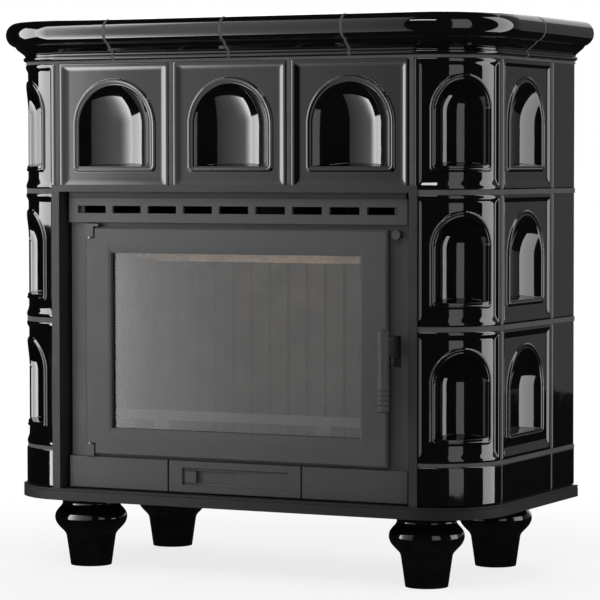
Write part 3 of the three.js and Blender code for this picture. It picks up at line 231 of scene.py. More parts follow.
# %% Painted metal materials
def make_paint(name, dark, light, roughness, grain, height, specular=0.5):
    """Matt paint: two close tones, a grain size and a grain height in millimetres."""
    material, tree, shader, mm = start_material(name, roughness)
    shader.inputs["Specular IOR Level"].default_value = specular
    cloud = add(tree, "ShaderNodeTexNoise", {"Scale": 1 / 70, "Detail": 5.0}, {"Vector": mm})
    tooth = add(tree, "ShaderNodeTexNoise", {"Scale": 1 / grain, "Detail": 3.0}, {"Vector": mm})
    speck = add(
        tree,
        "ShaderNodeMix",
        {"data_type": "FLOAT", 0: 0.35},
        {2: cloud.outputs["Fac"], 3: tooth.outputs["Fac"]},
    )
    tone = ramp(tree, speck.outputs[0], [(0.3, dark), (0.7, light)])
    tree.links.new(tone, shader.inputs["Base Color"])
    polish = add(
        tree,
        "ShaderNodeMapRange",
        {"From Min": 0.3, "From Max": 0.7, "To Min": roughness - 0.05, "To Max": roughness + 0.06},
        {"Value": cloud.outputs["Fac"]},
    )
    tree.links.new(polish.outputs["Result"], shader.inputs["Roughness"])
    skin = add(
        tree,
        "ShaderNodeBump",
        {"Strength": 1.0, "Distance": height * MM},
        {"Height": tooth.outputs["Fac"]},
    )
    tree.links.new(skin.outputs["Normal"], shader.inputs["Normal"])
    return material


SHEET_PAINT = make_paint("heatproof_matt_paint_on_sheet_steel", "#29292a", "#303031", 0.6, 0.9, 0.05, 0.35)
CAST_PAINT = make_paint("heatproof_matt_paint_on_cast_iron", "#2d2d2e", "#363637", 0.62, 1.8, 0.14, 0.35)
DEEP_PAINT = make_paint("heatproof_black_paint_on_sheet_steel", "#1a1a1b", "#212122", 0.62, 0.9, 0.05, 0.3)
POWDER = make_paint("black_powder_coat_on_steel", "#131314", "#19191a", 0.62, 1.2, 0.05, 0.25)
RAW_IRON = make_paint("grey_cast_iron_sand_cast", "#4a4846", "#5d5a57", 0.7, 2.6, 0.3)
print("finishes:", SHEET_PAINT.name, CAST_PAINT.name, POWDER.name, RAW_IRON.name)

# %% [markdown]
# ## Lacquered feet
#
# The feet are turned wood under several coats of black gloss lacquer. Lacquer is softer to the eye than glaze: its
# index is about 1.5, its mirror slightly blurred, and the fine rings of the turning show through in it.


# %% Foot lacquer
def make_lacquer():
    material, tree, shader, mm = start_material("black_gloss_lacquer_on_turned_wood", 0.09)
    drift = add(tree, "ShaderNodeTexNoise", {"Scale": 1 / 18, "Detail": 2.0}, {"Vector": mm})
    rings = add(
        tree,
        "ShaderNodeTexWave",
        {"bands_direction": "Z", "Scale": 1 / 12, "Distortion": 0.6},
        {"Vector": mm},
    )
    tone = ramp(tree, drift.outputs["Fac"], [(0.35, "#070707"), (0.7, "#0d0c0c")])
    tree.links.new(tone, shader.inputs["Base Color"])
    low = add(
        tree,
        "ShaderNodeBump",
        {"Strength": 1.0, "Distance": 0.06 * MM},
        {"Height": drift.outputs["Fac"]},
    )
    turned = add(
        tree,
        "ShaderNodeBump",
        {"Strength": 1.0, "Distance": 0.004 * MM},
        {"Height": rings.outputs["Fac"], "Normal": low.outputs["Normal"]},
    )
    tree.links.new(turned.outputs["Normal"], shader.inputs["Normal"])
    return material


LACQUER = make_lacquer()
print("finish:", LACQUER.name)

# %% [markdown]
# ## Mortar, lining, rope, steel and glass
#
# Joint mortar is cement with fine sand: grey, rough, full of half-millimetre grains. The firebox is lined with
# pressed vermiculite, a pale brown board with shiny flakes of 2 to 4 mm and a grey film of soot in broad clouds.
# The door seals on braided glass rope, and its hinge pins are turned bright steel, which is the only bare metal
# here.


# %% Mortar and lining
def make_mortar():
    material, tree, shader, mm = start_material("cement_joint_mortar_troweled", 0.92)
    sand = add(tree, "ShaderNodeTexNoise", {"Scale": 1 / 0.9, "Detail": 4.0}, {"Vector": mm})
    patch = add(tree, "ShaderNodeTexNoise", {"Scale": 1 / 45, "Detail": 3.0}, {"Vector": mm})
    blend = add(
        tree,
        "ShaderNodeMix",
        {"data_type": "FLOAT", 0: 0.45},
        {2: patch.outputs["Fac"], 3: sand.outputs["Fac"]},
    )
    tone = ramp(tree, blend.outputs[0], [(0.32, "#303030"), (0.68, "#434342")])
    tree.links.new(tone, shader.inputs["Base Color"])
    rough = add(
        tree,
        "ShaderNodeBump",
        {"Strength": 1.0, "Distance": 0.25 * MM},
        {"Height": sand.outputs["Fac"]},
    )
    tree.links.new(rough.outputs["Normal"], shader.inputs["Normal"])
    return material


def make_lining(name, dark, middle, light):
    """Pressed board: three tones of its flakes under a film of soot."""
    material, tree, shader, mm = start_material(name, 0.88)
    flake = add(tree, "ShaderNodeTexVoronoi", {"Scale": 1 / 3.2}, {"Vector": mm})
    cloud = add(tree, "ShaderNodeTexNoise", {"Scale": 1 / 60, "Detail": 4.0}, {"Vector": mm})
    board = ramp(tree, flake.outputs["Color"], [(0.2, dark), (0.55, middle), (0.9, light)])
    soot = ramp(tree, cloud.outputs["Fac"], [(0.35, "#b9b2ab"), (0.7, "#8f8a86")])
    tone = add(
        tree,
        "ShaderNodeMix",
        {"data_type": "RGBA", "blend_type": "MULTIPLY", 0: 1.0},
        {6: board, 7: soot},
    )
    tree.links.new(tone.outputs[2], shader.inputs["Base Color"])
    skin = add(
        tree,
        "ShaderNodeBump",
        {"Strength": 1.0, "Distance": 0.08 * MM},
        {"Height": flake.outputs["Distance"]},
    )
    tree.links.new(skin.outputs["Normal"], shader.inputs["Normal"])
    return material


MORTAR = make_mortar()
LINING = make_lining("vermiculite_board_sooted", "#7e7c78", "#85827e", "#8b8884")
BAFFLE = make_lining("vermiculite_board_pressed", "#c4ae98", "#d6c2ac", "#e3d2be")


# %% Rope, bright steel and glass
def make_rope():
    material, tree, shader, mm = start_material("glass_fibre_rope_braided", 0.9)
    yarn = add(tree, "ShaderNodeTexNoise", {"Scale": 1 / 0.8, "Detail": 2.0}, {"Vector": mm})
    tone = ramp(tree, yarn.outputs["Fac"], [(0.35, "#4a4844"), (0.65, "#716e68")])
    tree.links.new(tone, shader.inputs["Base Color"])
    fuzz = add(
        tree,
        "ShaderNodeBump",
        {"Strength": 1.0, "Distance": 0.15 * MM},
        {"Height": yarn.outputs["Fac"]},
    )
    tree.links.new(fuzz.outputs["Normal"], shader.inputs["Normal"])
    return material


def make_bright_steel():
    material, tree, shader, mm = start_material("steel_turned_bright", 0.3, metallic=1.0)
    rings = add(
        tree,
        "ShaderNodeTexWave",
        {"bands_direction": "Z", "Scale": 1 / 0.6},
        {"Vector": mm},
    )
    tone = ramp(tree, rings.outputs["Fac"], [(0.2, "#8b8a88"), (0.8, "#b4b2ae")])
    tree.links.new(tone, shader.inputs["Base Color"])
    cut = add(
        tree,
        "ShaderNodeBump",
        {"Strength": 1.0, "Distance": 0.02 * MM},
        {"Height": rings.outputs["Fac"]},
    )
    tree.links.new(cut.outputs["Normal"], shader.inputs["Normal"])
    return material


def make_glass():
    """Ceramic stove glass: a faint smoky film of old fires, in broad clouds, over clear glass."""
    material, tree, shader, mm = start_material("ceramic_stove_glass_drawn", 0.0, ior=1.53)
    shader.inputs["Transmission Weight"].default_value = 1.0
    film = add(tree, "ShaderNodeTexNoise", {"Scale": 1 / 160, "Detail": 3.0}, {"Vector": mm})
    tone = ramp(tree, film.outputs["Fac"], [(0.3, "#e2e2e2"), (0.7, "#ededed")])
    tree.links.new(tone, shader.inputs["Base Color"])
    blur = add(
        tree,
        "ShaderNodeMapRange",
        {"From Min": 0.3, "From Max": 0.7, "To Min": 0.0, "To Max": 0.02},
        {"Value": film.outputs["Fac"]},
    )
    tree.links.new(blur.outputs["Result"], shader.inputs["Roughness"])
    return material


ROPE = make_rope()
BRIGHT_STEEL = make_bright_steel()
GLASS = make_glass()
print("finishes:", MORTAR.name, LINING.name, BAFFLE.name, ROPE.name, BRIGHT_STEEL.name, GLASS.name)

# %% [markdown]
# ## Tools for pieces
#
# A finished piece is one mesh at the origin that rides on a body of the imported model and stands for one of its
# nodes. The same two calls come after every piece, so one function makes them. Plain pieces of folded steel keep
# the shape of their node, but real sheet has soft edges that catch light, so a copy of the node is merged, its flat
# faces joined, its edges rounded by a bevel, and its round faces shaded smooth.

# %% Piece helpers
BODY_OF = {
    node: body for body, nodes in frame["record"]["behaviour"]["bodies"].items() for node in nodes
}
SHARP = math.radians(40)


def link(name, mesh):
    piece = bpy.data.objects.new(name, mesh)
    bpy.context.scene.collection.objects.link(piece)
    return piece


def stand_for(piece, node):
    """The piece rides on the node's body and is shown in place of the node, which is hidden."""
    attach(piece, BODY_OF[node])
    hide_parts(node)
    return piece


def settle(piece, material):
    """Applies the modifiers and leaves one plain smooth mesh, whose large faces still shade as flat."""
    piece.data.shade_smooth()
    level = piece.modifiers.new("level", "WEIGHTED_NORMAL")
    level.weight = 95
    graph = bpy.context.evaluated_depsgraph_get()
    mesh = bpy.data.meshes.new_from_object(piece.evaluated_get(graph))
    piece.modifiers.clear()
    piece.data = mesh
    mesh.materials.clear()
    mesh.materials.append(material)
    return piece


def outward(mesh):
    """Merges doubles and turns every face of a closed shell outward."""
    shell = bmesh.new()
    shell.from_mesh(mesh)
    bmesh.ops.remove_doubles(shell, verts=shell.verts, dist=0.001 * MM)
    bmesh.ops.recalc_face_normals(shell, faces=shell.faces)
    shell.to_mesh(mesh)
    shell.free()
    return mesh


def soften(piece, width, segments=2):
    """A bevel of this width in millimetres on every edge that turns by more than 30 degrees."""
    bevel = piece.modifiers.new("edges", "BEVEL")
    bevel.width = width * MM
    bevel.segments = segments
    bevel.limit_method = "ANGLE"
    bevel.angle_limit = math.radians(30)
    return piece


def merged_copy(node):
    """A copy of a node's mesh with its triangles merged and its flat faces joined."""
    mesh = frame["nodes"][node].data.copy()
    shell = bmesh.new()
    shell.from_mesh(mesh)
    bmesh.ops.remove_doubles(shell, verts=shell.verts, dist=0.002 * MM)
    bmesh.ops.dissolve_limit(
        shell, angle_limit=math.radians(0.2), verts=shell.verts, edges=shell.edges
    )
    shell.to_mesh(mesh)
    shell.free()
    return mesh


def dress(node, material, width=0.8, segments=2):
    piece = soften(link(f"{node}_finished", merged_copy(node)), width, segments)
    settle(piece, material)
    return stand_for(piece, node)


# %% [markdown]
# ## Relief of a tile
#
# The face of every tile has a flat rim, slopes down to a sunk field, a round bead in the shape of an arch, and a
# niche whose hollow wall runs into a dome. It could be sculpted, but each of these parts follows a rule, and the
# glaze has run over all the edges between them. So the face is a field of depths: a formula gives how deep the
# surface lies at any point, and where two forms meet, the smaller or larger depth is taken with the crease rounded.

# %% Depth of a tile face
EDGE = 4.0
EDGE_SOFT = 2.2
RIM = 9.0
FIELD = 3.8
SLOPE_SIDE = 9.0
SLOPE_TOP = 6.6
SLOPE_LOW = 10.0
FILLET = 1.8
CREASE = 0.5
RIDGE = 5.4
CREST = 0.5
LIP = 1.7
SILL_RISE = 0.18
NICHE_SOFT = 1.2


def nearer(a, b, soft):
    """The smaller of two depths, with the crease between them rounded."""
    share = np.clip(0.5 + 0.5 * (b - a) / soft, 0, 1)
    return b + (a - b) * share - soft * share * (1 - share)


def deeper(a, b, soft):
    return -nearer(-a, -b, soft)


def sunk_field(side, top, low, rim, slope):
    """Depth of edge, rim, slopes and field from the distances to the edges; rim and slope are the sides' own."""
    slopes = nearer((side - rim) * FIELD / slope, (top - RIM) * FIELD / SLOPE_TOP, FILLET)
    slopes = nearer(slopes, (low - RIM) * FIELD / SLOPE_LOW, FILLET)
    face = deeper(nearer(slopes, FIELD, FILLET), 0, CREASE)
    edges = deeper(deeper(EDGE - side, EDGE - top, EDGE_SOFT), EDGE - low, EDGE_SOFT)
    return deeper(face, edges, EDGE_SOFT)


def arch_inside(across, up, half, low, spring, rise):
    """Distance inward from an arched outline, negative outside it."""
    dome = half - np.hypot(across, (up - spring) * half / rise)
    legs = nearer(half - np.abs(across), up - low, 2 * EDGE)
    return np.where(up > spring, dome, legs)


def arched(field, inside, niche):
    """The field with the bead laid on it along the outline and the niche cut inside it."""
    round_up = np.sqrt(np.clip(1 - (2 * inside / RIDGE - 1) ** 2, 0, 1))
    ridge = FIELD - (FIELD - CREST) * round_up
    stock = np.where(inside > RIDGE / 2, nearer(ridge, LIP, 0.5), nearer(field, ridge, 0.7))
    return deeper(stock, niche, NICHE_SOFT)


# %% Flat and quarter-round tiles
front_low, front_high = (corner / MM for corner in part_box("front_tile_2"))
TILE_HALF = (front_high.z - front_low.z) / 2
TILE_DEPTH = front_high.y - front_low.y
corner_low, corner_high = (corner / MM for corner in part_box("corner_tile_right_1"))
JOINT = 2.0
CORNER_R = corner_high.x - corner_low.x + JOINT / 2

ARCH_LOW = -77.0
BEAD_W = 8.0
ARCH_HALF = 79.5
ARCH_SPRING = 0.5
BOWL_DEPTH = 30.0
CORNER_HALF = 55.0
CORNER_RISE = 57.5
CORNER_SPRING = 23.0
BOWL_R = 55.7
BOWL_AXIS = 129.7
BOWL_SPRING = 19.0
CORNER_RIM = 10.7
CORNER_SLOPE = 4.9
OUTSIDE = -50.0


def flat_depth(across, up):
    half = ARCH_HALF - BEAD_W
    radius = (half**2 + BOWL_DEPTH**2) / (2 * BOWL_DEPTH)
    reach = np.hypot(across, np.maximum(0, up - ARCH_SPRING))
    bowl = np.sqrt(np.clip(radius**2 - reach**2, 0, None)) - (radius - BOWL_DEPTH)
    sill = (up - ARCH_LOW - BEAD_W) / SILL_RISE
    field = sunk_field(TILE_HALF - np.abs(across), TILE_HALF - up, TILE_HALF + up, RIM, SLOPE_SIDE)
    inside = arch_inside(across, up, ARCH_HALF, ARCH_LOW, ARCH_SPRING, ARCH_HALF)
    return arched(field, inside, nearer(bowl, sill, NICHE_SOFT))


def corner_depth(angle, up):
    """Depth along the radius of the corner; the arch and the niche are seen along its diagonal."""
    across = CORNER_R * np.sin(angle)
    side = CORNER_R * (math.pi / 4 - np.abs(angle)) - JOINT / 2
    dome = np.maximum(0, up - BOWL_SPRING)
    under = BOWL_R**2 - dome**2 - (BOWL_AXIS * np.sin(angle)) ** 2
    bowl = CORNER_R - BOWL_AXIS * np.cos(angle) + np.sqrt(np.clip(under, 0, None))
    bowl = np.where(under > 0, bowl, OUTSIDE)
    sill_from = CORNER_R - (up - ARCH_LOW - BEAD_W) / SILL_RISE
    sill = CORNER_R - sill_from / np.cos(angle)
    field = sunk_field(side, TILE_HALF - up, TILE_HALF + up, CORNER_RIM, CORNER_SLOPE)
    inside = arch_inside(across, up, CORNER_HALF, ARCH_LOW, CORNER_SPRING, CORNER_RISE)
    return arched(field, inside, nearer(bowl, sill, NICHE_SOFT))


STEP = 1.3
SILL_STEP = 0.45
SILL_BAND = (ARCH_LOW + BEAD_W - 4, ARCH_LOW + BEAD_W + 9)


def tile_rows():
    """Heights of the rows of points: close together across the steep sill, wider elsewhere."""
    low, high = SILL_BAND
    below = np.arange(-TILE_HALF, low, STEP)
    across = np.arange(low, high, SILL_STEP)
    above = np.linspace(high, TILE_HALF, round((TILE_HALF - high) / STEP) + 1)
    return np.concatenate([below, across, above])


def relief_mesh(name, columns, depth_of, place):
    """A closed tile: a fine face, four walls and a plain back. place gives a point from column, depth, height."""
    rows = tile_rows()
    across, up = np.meshgrid(columns, rows)
    face = place(across, depth_of(across, up), up)
    ends = place(np.array([columns, columns]), TILE_DEPTH, np.array([[rows[0]], [rows[-1]]]))
    points = np.concatenate([face.reshape(-1, 3), ends.reshape(-1, 3)]) * MM
    count, last = len(columns), len(rows) - 1
    back = count * len(rows)
    faces = []
    for r in range(last):
        for c in range(count - 1):
            a = r * count + c
            faces.append((a, a + 1, a + count + 1, a + count))
    for c in range(count - 1):
        top = last * count + c
        faces.append((c, back + c, back + c + 1, c + 1))
        faces.append((top, top + 1, back + count + c + 1, back + count + c))
        faces.append((back + c, back + count + c, back + count + c + 1, back + c + 1))
    for c in (0, count - 1):
        column = [r * count + c for r in range(last + 1)]
        faces.append((*column, back + count + c, back + c))
    mesh = bpy.data.meshes.new(name)
    mesh.from_pydata(points.tolist(), [], faces)
    mesh.materials.append(GLAZE)
    outward(mesh)
    mesh.shade_smooth()
    mesh.set_sharp_from_angle(angle=math.radians(72))
    print(f"{name}: {len(mesh.vertices)} points")
    return mesh


def on_flat(across, depth, up):
    return np.stack(np.broadcast_arrays(across, depth, up), axis=-1)


def on_corner(angle, depth, up):
    radius = CORNER_R - depth
    parts = np.broadcast_arrays(radius * np.sin(angle), -radius * np.cos(angle), up)
    return np.stack(parts, axis=-1)


FLAT_TILE = relief_mesh(
    "flat_tile", np.linspace(-TILE_HALF, TILE_HALF, round(2 * TILE_HALF / STEP) + 1), flat_depth, on_flat
)
half_turn = math.pi / 4 - JOINT / 2 / CORNER_R
CORNER_TILE = relief_mesh(
    "corner_tile",
    np.linspace(-half_turn, half_turn, round(2 * half_turn * CORNER_R / STEP) + 1),
    corner_depth,
    on_corner,
)

# %% [markdown]
# ## Setting the tiles
#
# Fifteen tiles are pressed in two moulds, so two meshes serve them all. Each copy is turned and moved within its
# mesh to the place of its node, which keeps the object itself at the origin. The plain strips that close the sides
# at the back have the same soft edges and nothing on their face.


# %% Flat and corner tiles
def set_tile(node, mesh, turn, at):
    copy = mesh.copy()
    copy.transform(Matrix.Translation(at) @ Matrix.Rotation(turn, 4, "Z"))
    return stand_for(link(f"{node}_glazed", copy), node)


QUARTER = math.pi / 2
for k in (1, 2, 3):
    low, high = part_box(f"front_tile_{k}")
    middle = (low + high) / 2
    set_tile(f"front_tile_{k}", FLAT_TILE, 0, Vector((middle.x, low.y, middle.z)))
for side, sign in (("left", -1), ("right", 1)):
    for k in (1, 2, 3):
        low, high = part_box(f"side_tile_{side}_{k}")
        middle = (low + high) / 2
        face = high.x if sign > 0 else low.x
        set_tile(f"side_tile_{side}_{k}", FLAT_TILE, sign * QUARTER, Vector((face, middle.y, middle.z)))
        low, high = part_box(f"corner_tile_{side}_{k}")
        axis_x = face - sign * CORNER_R * MM
        axis = Vector((axis_x, low.y + CORNER_R * MM, (low.z + high.z) / 2))
        set_tile(f"corner_tile_{side}_{k}", CORNER_TILE, sign * QUARTER / 2, axis)

# %% End strips
for side in ("left", "right"):
    for k in (1, 2, 3):
        node = f"end_tile_{side}_{k}"
        piece = soften(link(f"{node}_glazed", merged_copy(node)), 1.6, 3)
        settle(piece, GLAZE)
        stand_for(piece, node)

# %% [markdown]
# ## Cornice and plinth
#
# The cornice is pressed in long moulds and mitred round the corner: one section carried along the plan of the
# stove. Geometry Nodes do just that. The section goes in as a ring of edges, the tree draws the plan through a
# start, a corner and an end, rounds the corner, and sweeps the section along it. Each length is a tile of its own,
# with soft ends where it meets its joint.


# %% Node tree that sweeps a section along the plan
def make_tree(name, sockets):
    """A geometry tree with named inputs, given as {name: socket type}."""
    tree = bpy.data.node_groups.new(name, "GeometryNodeTree")
    tree.is_modifier = True
    face = tree.interface
    for label, kind in {"Geometry": "Geometry", **sockets, "Material": "Material"}.items():
        face.new_socket(label, in_out="INPUT", socket_type=f"NodeSocket{kind}")
    face.new_socket("Geometry", in_out="OUTPUT", socket_type="NodeSocketGeometry")
    return tree, add(tree, "NodeGroupInput").outputs


def close_tree(tree, geometry, material):
    """Ends a tree as plain geometry with its material."""
    real = add(tree, "GeometryNodeRealizeInstances", {}, {"Geometry": geometry})
    painted = add(
        tree,
        "GeometryNodeSetMaterial",
        {},
        {"Geometry": real.outputs["Geometry"], "Material": material},
    )
    add(tree, "NodeGroupOutput", {}, {"Geometry": painted.outputs["Geometry"]})
    return tree


def grow(name, mesh, tree, values):
    """Runs a tree on a mesh and returns the result as a plain object."""
    piece = link(name, mesh)
    growth = piece.modifiers.new("growth", "NODES")
    growth.node_group = tree
    known = {item.name: item.identifier for item in tree.interface.items_tree if item.in_out == "INPUT"}
    for label, value in values.items():
        growth[known[label]] = value
    graph = bpy.context.evaluated_depsgraph_get()
    grown = bpy.data.meshes.new_from_object(piece.evaluated_get(graph))
    piece.modifiers.clear()
    piece.data = grown
    return piece


def make_sweep():
    sockets = {"Start": "Vector", "Corner": "Vector", "End": "Vector", "Radius": "Float", "Steps": "Int"}
    tree, given = make_tree("sweep_along_plan", sockets)
    turn_to = add(tree, "GeometryNodeIndexSwitch", {"data_type": "VECTOR"})
    turn_to.index_switch_items.new()
    stops = (add(tree, "GeometryNodeInputIndex").outputs[0], given["Start"], given["Corner"], given["End"])
    for k, source in enumerate(stops):
        tree.links.new(source, turn_to.inputs[k])
    points = add(tree, "GeometryNodePoints", {"Count": 3}, {"Position": turn_to.outputs[0]})
    plan = add(tree, "GeometryNodePointsToCurves", {}, {"Points": points.outputs[0]})
    rounded = add(
        tree,
        "GeometryNodeFilletCurve",
        {"mode": "POLY"},
        {"Curve": plan.outputs[0], "Radius": given["Radius"], "Count": given["Steps"]},
    )
    level = add(tree, "GeometryNodeSetCurveNormal", {"mode": "Z_UP"}, {"Curve": rounded.outputs[0]})
    section = add(tree, "GeometryNodeMeshToCurve", {}, {"Mesh": given["Geometry"]})
    swept = add(
        tree,
        "GeometryNodeCurveToMesh",
        {"Fill Caps": True},
        {"Curve": level.outputs[0], "Profile Curve": section.outputs[0]},
    )
    return close_tree(tree, swept.outputs[0], given["Material"])


SWEEP = make_sweep()
FACE_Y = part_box("front_tile_2")[0].y
SIDE_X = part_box("side_tile_right_1")[1].x
CORNER_STEPS = 40
print("plan: front face at", round(FACE_Y, 4), "side face at", round(SIDE_X, 4))


# %% Sections of cornice and plinth
def arc(across, up, radius, start, end, steps):
    """Points on an arc between two angles in degrees."""
    turns = np.radians(np.linspace(start, end, steps + 1))
    return [(across + radius * math.cos(a), up + radius * math.sin(a)) for a in turns]


def spline(points, steps):
    """A smooth curve through points, by the rule of Catmull and Rom."""
    ring = [points[0], *points, points[-1]]
    path = []
    for a, b, c, d in zip(ring, ring[1:], ring[2:], ring[3:]):
        for t in np.linspace(0, 1, steps, endpoint=False):
            shape = [
                0.5 * (2 * q + (r - p) * t + (2 * p - 5 * q + 4 * r - s) * t**2 + (3 * q - p - 3 * r + s) * t**3)
                for p, q, r, s in zip(a, b, c, d)
            ]
            path.append(tuple(shape))
    return path


def section_mesh(points, base):
    """A closed section of (outward, up) millimetres above base as a ring of edges; the sweep hangs it downward."""
    spots = [(out * MM, -(base + up * MM), 0) for out, up in points]
    count = len(spots)
    mesh = bpy.data.meshes.new("section")
    mesh.from_pydata(spots, [(k, (k + 1) % count) for k in range(count)], [])
    return mesh


cornice_low, cornice_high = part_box("cornice_front_right")
CORNICE_H = (cornice_high.z - cornice_low.z) / MM
CORNICE_IN = 45.0
LEDGE_W = 20.0
LEDGE_D = 18.0
NOSE_OUT = 13.0
NOSE_R = 21.0
BEAD_R = 3.7
CORNICE_SECTION = [
    (-CORNICE_IN, 0.0),
    (-1.5, 0.0),
    *arc(0, 4.5, BEAD_R, -75, 80, 10),
    *spline([(0.6, 8.6), (1.4, 11.2), (7.4, 16.2), (14.2, 21.6), (17.8, 26.2)], 4)[3:],
    *arc(NOSE_OUT, CORNICE_H - NOSE_R, NOSE_R, -76, 90, 34),
    (LEDGE_W - CORNICE_IN, CORNICE_H),
    (LEDGE_W - CORNICE_IN, CORNICE_H - LEDGE_D),
    (-CORNICE_IN, CORNICE_H - LEDGE_D),
]
CUT_SOFT = 1.5


def sweep_piece(name, section, start, corner, end, radius, material, mirrored):
    """One swept length on the right side, or its mirror image on the left."""
    values = {
        "Start": start,
        "Corner": corner,
        "End": end,
        "Radius": radius,
        "Steps": CORNER_STEPS,
        "Material": material,
    }
    piece = grow(name, section, SWEEP, values)
    if mirrored:
        piece.data.transform(Matrix.Scale(-1, 4, (1, 0, 0)))
    outward(piece.data)
    return piece


def run_between(x0, y1):
    """Start, corner and end of the plan from x0 on the front to y1 on the side."""
    return (x0, FACE_Y, 0), (SIDE_X, FACE_Y, 0), (SIDE_X, y1, 0)


# %% Cornice
for side in ("left", "right"):
    mirrored = side == "left"
    front_low, front_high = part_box("cornice_front_right")
    turn_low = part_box("cornice_corner_right")[0]
    turn_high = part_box("cornice_corner_right")[1]
    rear_low, rear_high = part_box("cornice_side_right")
    front_mid = ((front_low.x + front_high.x) / 2, FACE_Y, 0)
    rear_mid = (SIDE_X, (rear_low.y + rear_high.y) / 2, 0)
    lengths = {
        f"cornice_front_{side}": ((front_low.x, FACE_Y, 0), front_mid, (front_high.x, FACE_Y, 0), 0),
        f"cornice_corner_{side}": (*run_between(turn_low.x, turn_high.y), CORNER_R * MM),
        f"cornice_side_{side}": ((SIDE_X, rear_low.y, 0), rear_mid, (SIDE_X, rear_high.y, 0), 0),
    }
    for node, (start, corner, end, radius) in lengths.items():
        section = section_mesh(CORNICE_SECTION, cornice_low.z)
        piece = sweep_piece(f"{node}_glazed", section, start, corner, end, radius, GLAZE, mirrored)
        soften(piece, CUT_SOFT, 3).modifiers["edges"].angle_limit = math.radians(60)
        settle(piece, GLAZE)
        stand_for(piece, node)
        print(f"{node}: {len(piece.data.polygons)} faces")

# %% [markdown]
# The cornice tiles are set in mortar that is smeared flush over the joint, so it shows as a band some 5 mm wide and
# hides the soft ends of the tiles. The same tree makes it from the same section, a short length at every joint that
# stands a third of a millimetre proud, but never further out than the cornice itself.

# %% Mortar over the cornice joints
SMEAR_W = 5.0
SMEAR_PROUD = 0.35
smear_section = [(min(out + SMEAR_PROUD, NOSE_OUT + NOSE_R), up * 0.9995) for out, up in CORNICE_SECTION]
half_smear = SMEAR_W * MM / 2
front_joint = (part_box("cornice_front_right")[1].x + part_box("cornice_corner_right")[0].x) / 2
side_joint = (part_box("cornice_corner_right")[1].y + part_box("cornice_side_right")[0].y) / 2
smears = [("middle", (0, FACE_Y), (1, 0), False)]
for side in ("left", "right"):
    smears.append((f"front_{side}", (front_joint, FACE_Y), (1, 0), side == "left"))
    smears.append((f"side_{side}", (SIDE_X, side_joint), (0, 1), side == "left"))
for label, at, way, mirrored in smears:
    start, end = (
        (at[0] + sign * half_smear * way[0], at[1] + sign * half_smear * way[1], 0) for sign in (-1, 1)
    )
    section = section_mesh(smear_section, cornice_low.z)
    piece = sweep_piece(f"cornice_mortar_{label}", section, start, (*at, 0), end, 0, MORTAR, mirrored)
    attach(piece, "stove")
print(f"{len(smears)} joints of the cornice filled")

# %% Plinth
plinth_low, plinth_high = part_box("plinth_right")
PLINTH_H = (plinth_high.z - plinth_low.z) / MM
PLINTH_T = 24.0
PLINTH_SECTION = [
    (-PLINTH_T, 0.0),
    (-EDGE, 0.0),
    *arc(-EDGE, EDGE, EDGE, -70, 0, 5),
    *arc(-EDGE, PLINTH_H - EDGE, EDGE, 0, 80, 5),
    (-PLINTH_T, PLINTH_H),
]


def plinth_lengths():
    """The plinth's corner, side and end tile as plan lines, parted by the same joints as the tiles above."""
    joint = JOINT * MM / 2
    first = FACE_Y + CORNER_R * MM
    second = first + (2 * TILE_HALF + JOINT) * MM
    back = plinth_high.y
    side_mid = (SIDE_X, (first + second) / 2, 0)
    end_mid = (SIDE_X, (second + back) / 2, 0)
    return [
        (*run_between(plinth_low.x, first - joint), (CORNER_R - JOINT / 2 - 0.05) * MM),
        ((SIDE_X, first + joint, 0), side_mid, (SIDE_X, second - joint, 0), 0),
        ((SIDE_X, second + joint, 0), end_mid, (SIDE_X, back, 0), 0),
    ]


def join_meshes(name, meshes):
    """Several plain meshes in one."""
    whole = bmesh.new()
    for mesh in meshes:
        whole.from_mesh(mesh)
    joined = bpy.data.meshes.new(name)
    whole.to_mesh(joined)
    whole.free()
    return joined


for side in ("left", "right"):
    parts = []
    for start, corner, end, radius in plinth_lengths():
        section = section_mesh(PLINTH_SECTION, plinth_low.z)
        part = sweep_piece("plinth_part", section, start, corner, end, radius, GLAZE, side == "left")
        soften(part, 2.5, 3).modifiers["edges"].angle_limit = math.radians(60)
        settle(part, GLAZE)
        parts.append(part)
    whole = join_meshes(f"plinth_{side}", [part.data for part in parts])
    for part in parts:
        bpy.data.objects.remove(part)
    whole.materials.append(GLAZE)
    stand_for(link(f"plinth_{side}_glazed", whole), f"plinth_{side}")

# %% [markdown]
# ## Feet
#
# A foot is turned on a lathe: a cone that widens upward, a full round bulge and a short neck under the plate. Its
# half outline is a list of points that a smooth curve joins, and the Screw modifier turns it once about its axis.

# %% Feet
FOOT_OUTLINE = [
    (0, 0),
    (33.5, 0),
    (35.2, 0.6),
    (36, 2.2),
    (39.2, 25),
    (42.4, 47),
    (43.4, 52.5),
    (45.6, 57),
    (50.2, 62),
    (55.4, 67.4),
    (59.8, 73.2),
    (62.4, 79.4),
    (62.9, 85),
    (61.4, 91.6),
    (57.6, 97.4),
    (53, 102.4),
    (50.4, 106.4),
    (49.7, 110.6),
    (50.8, 113.2),
    (53.3, 115),
]
FOOT_TURNS = 96


def turned(name, outline, at, turns, material):
    """An outline of (radius, up) millimetres turned about an upright axis; at is the axis on its base level."""
    spots = [(radius * MM, 0, up * MM) for radius, up in outline]
    mesh = bpy.data.meshes.new(name)
    mesh.from_pydata(spots, [(k, k + 1) for k in range(len(spots) - 1)], [])
    piece = link(name, mesh)
    screw = piece.modifiers.new("lathe", "SCREW")
    screw.axis = "Z"
    screw.steps = turns
    screw.render_steps = turns
    screw.use_merge_vertices = True
    settle(piece, material)
    outward(piece.data)
    piece.data.transform(Matrix.Translation(at))
    piece.data.shade_smooth()
    piece.data.set_sharp_from_angle(angle=SHARP)
    return piece


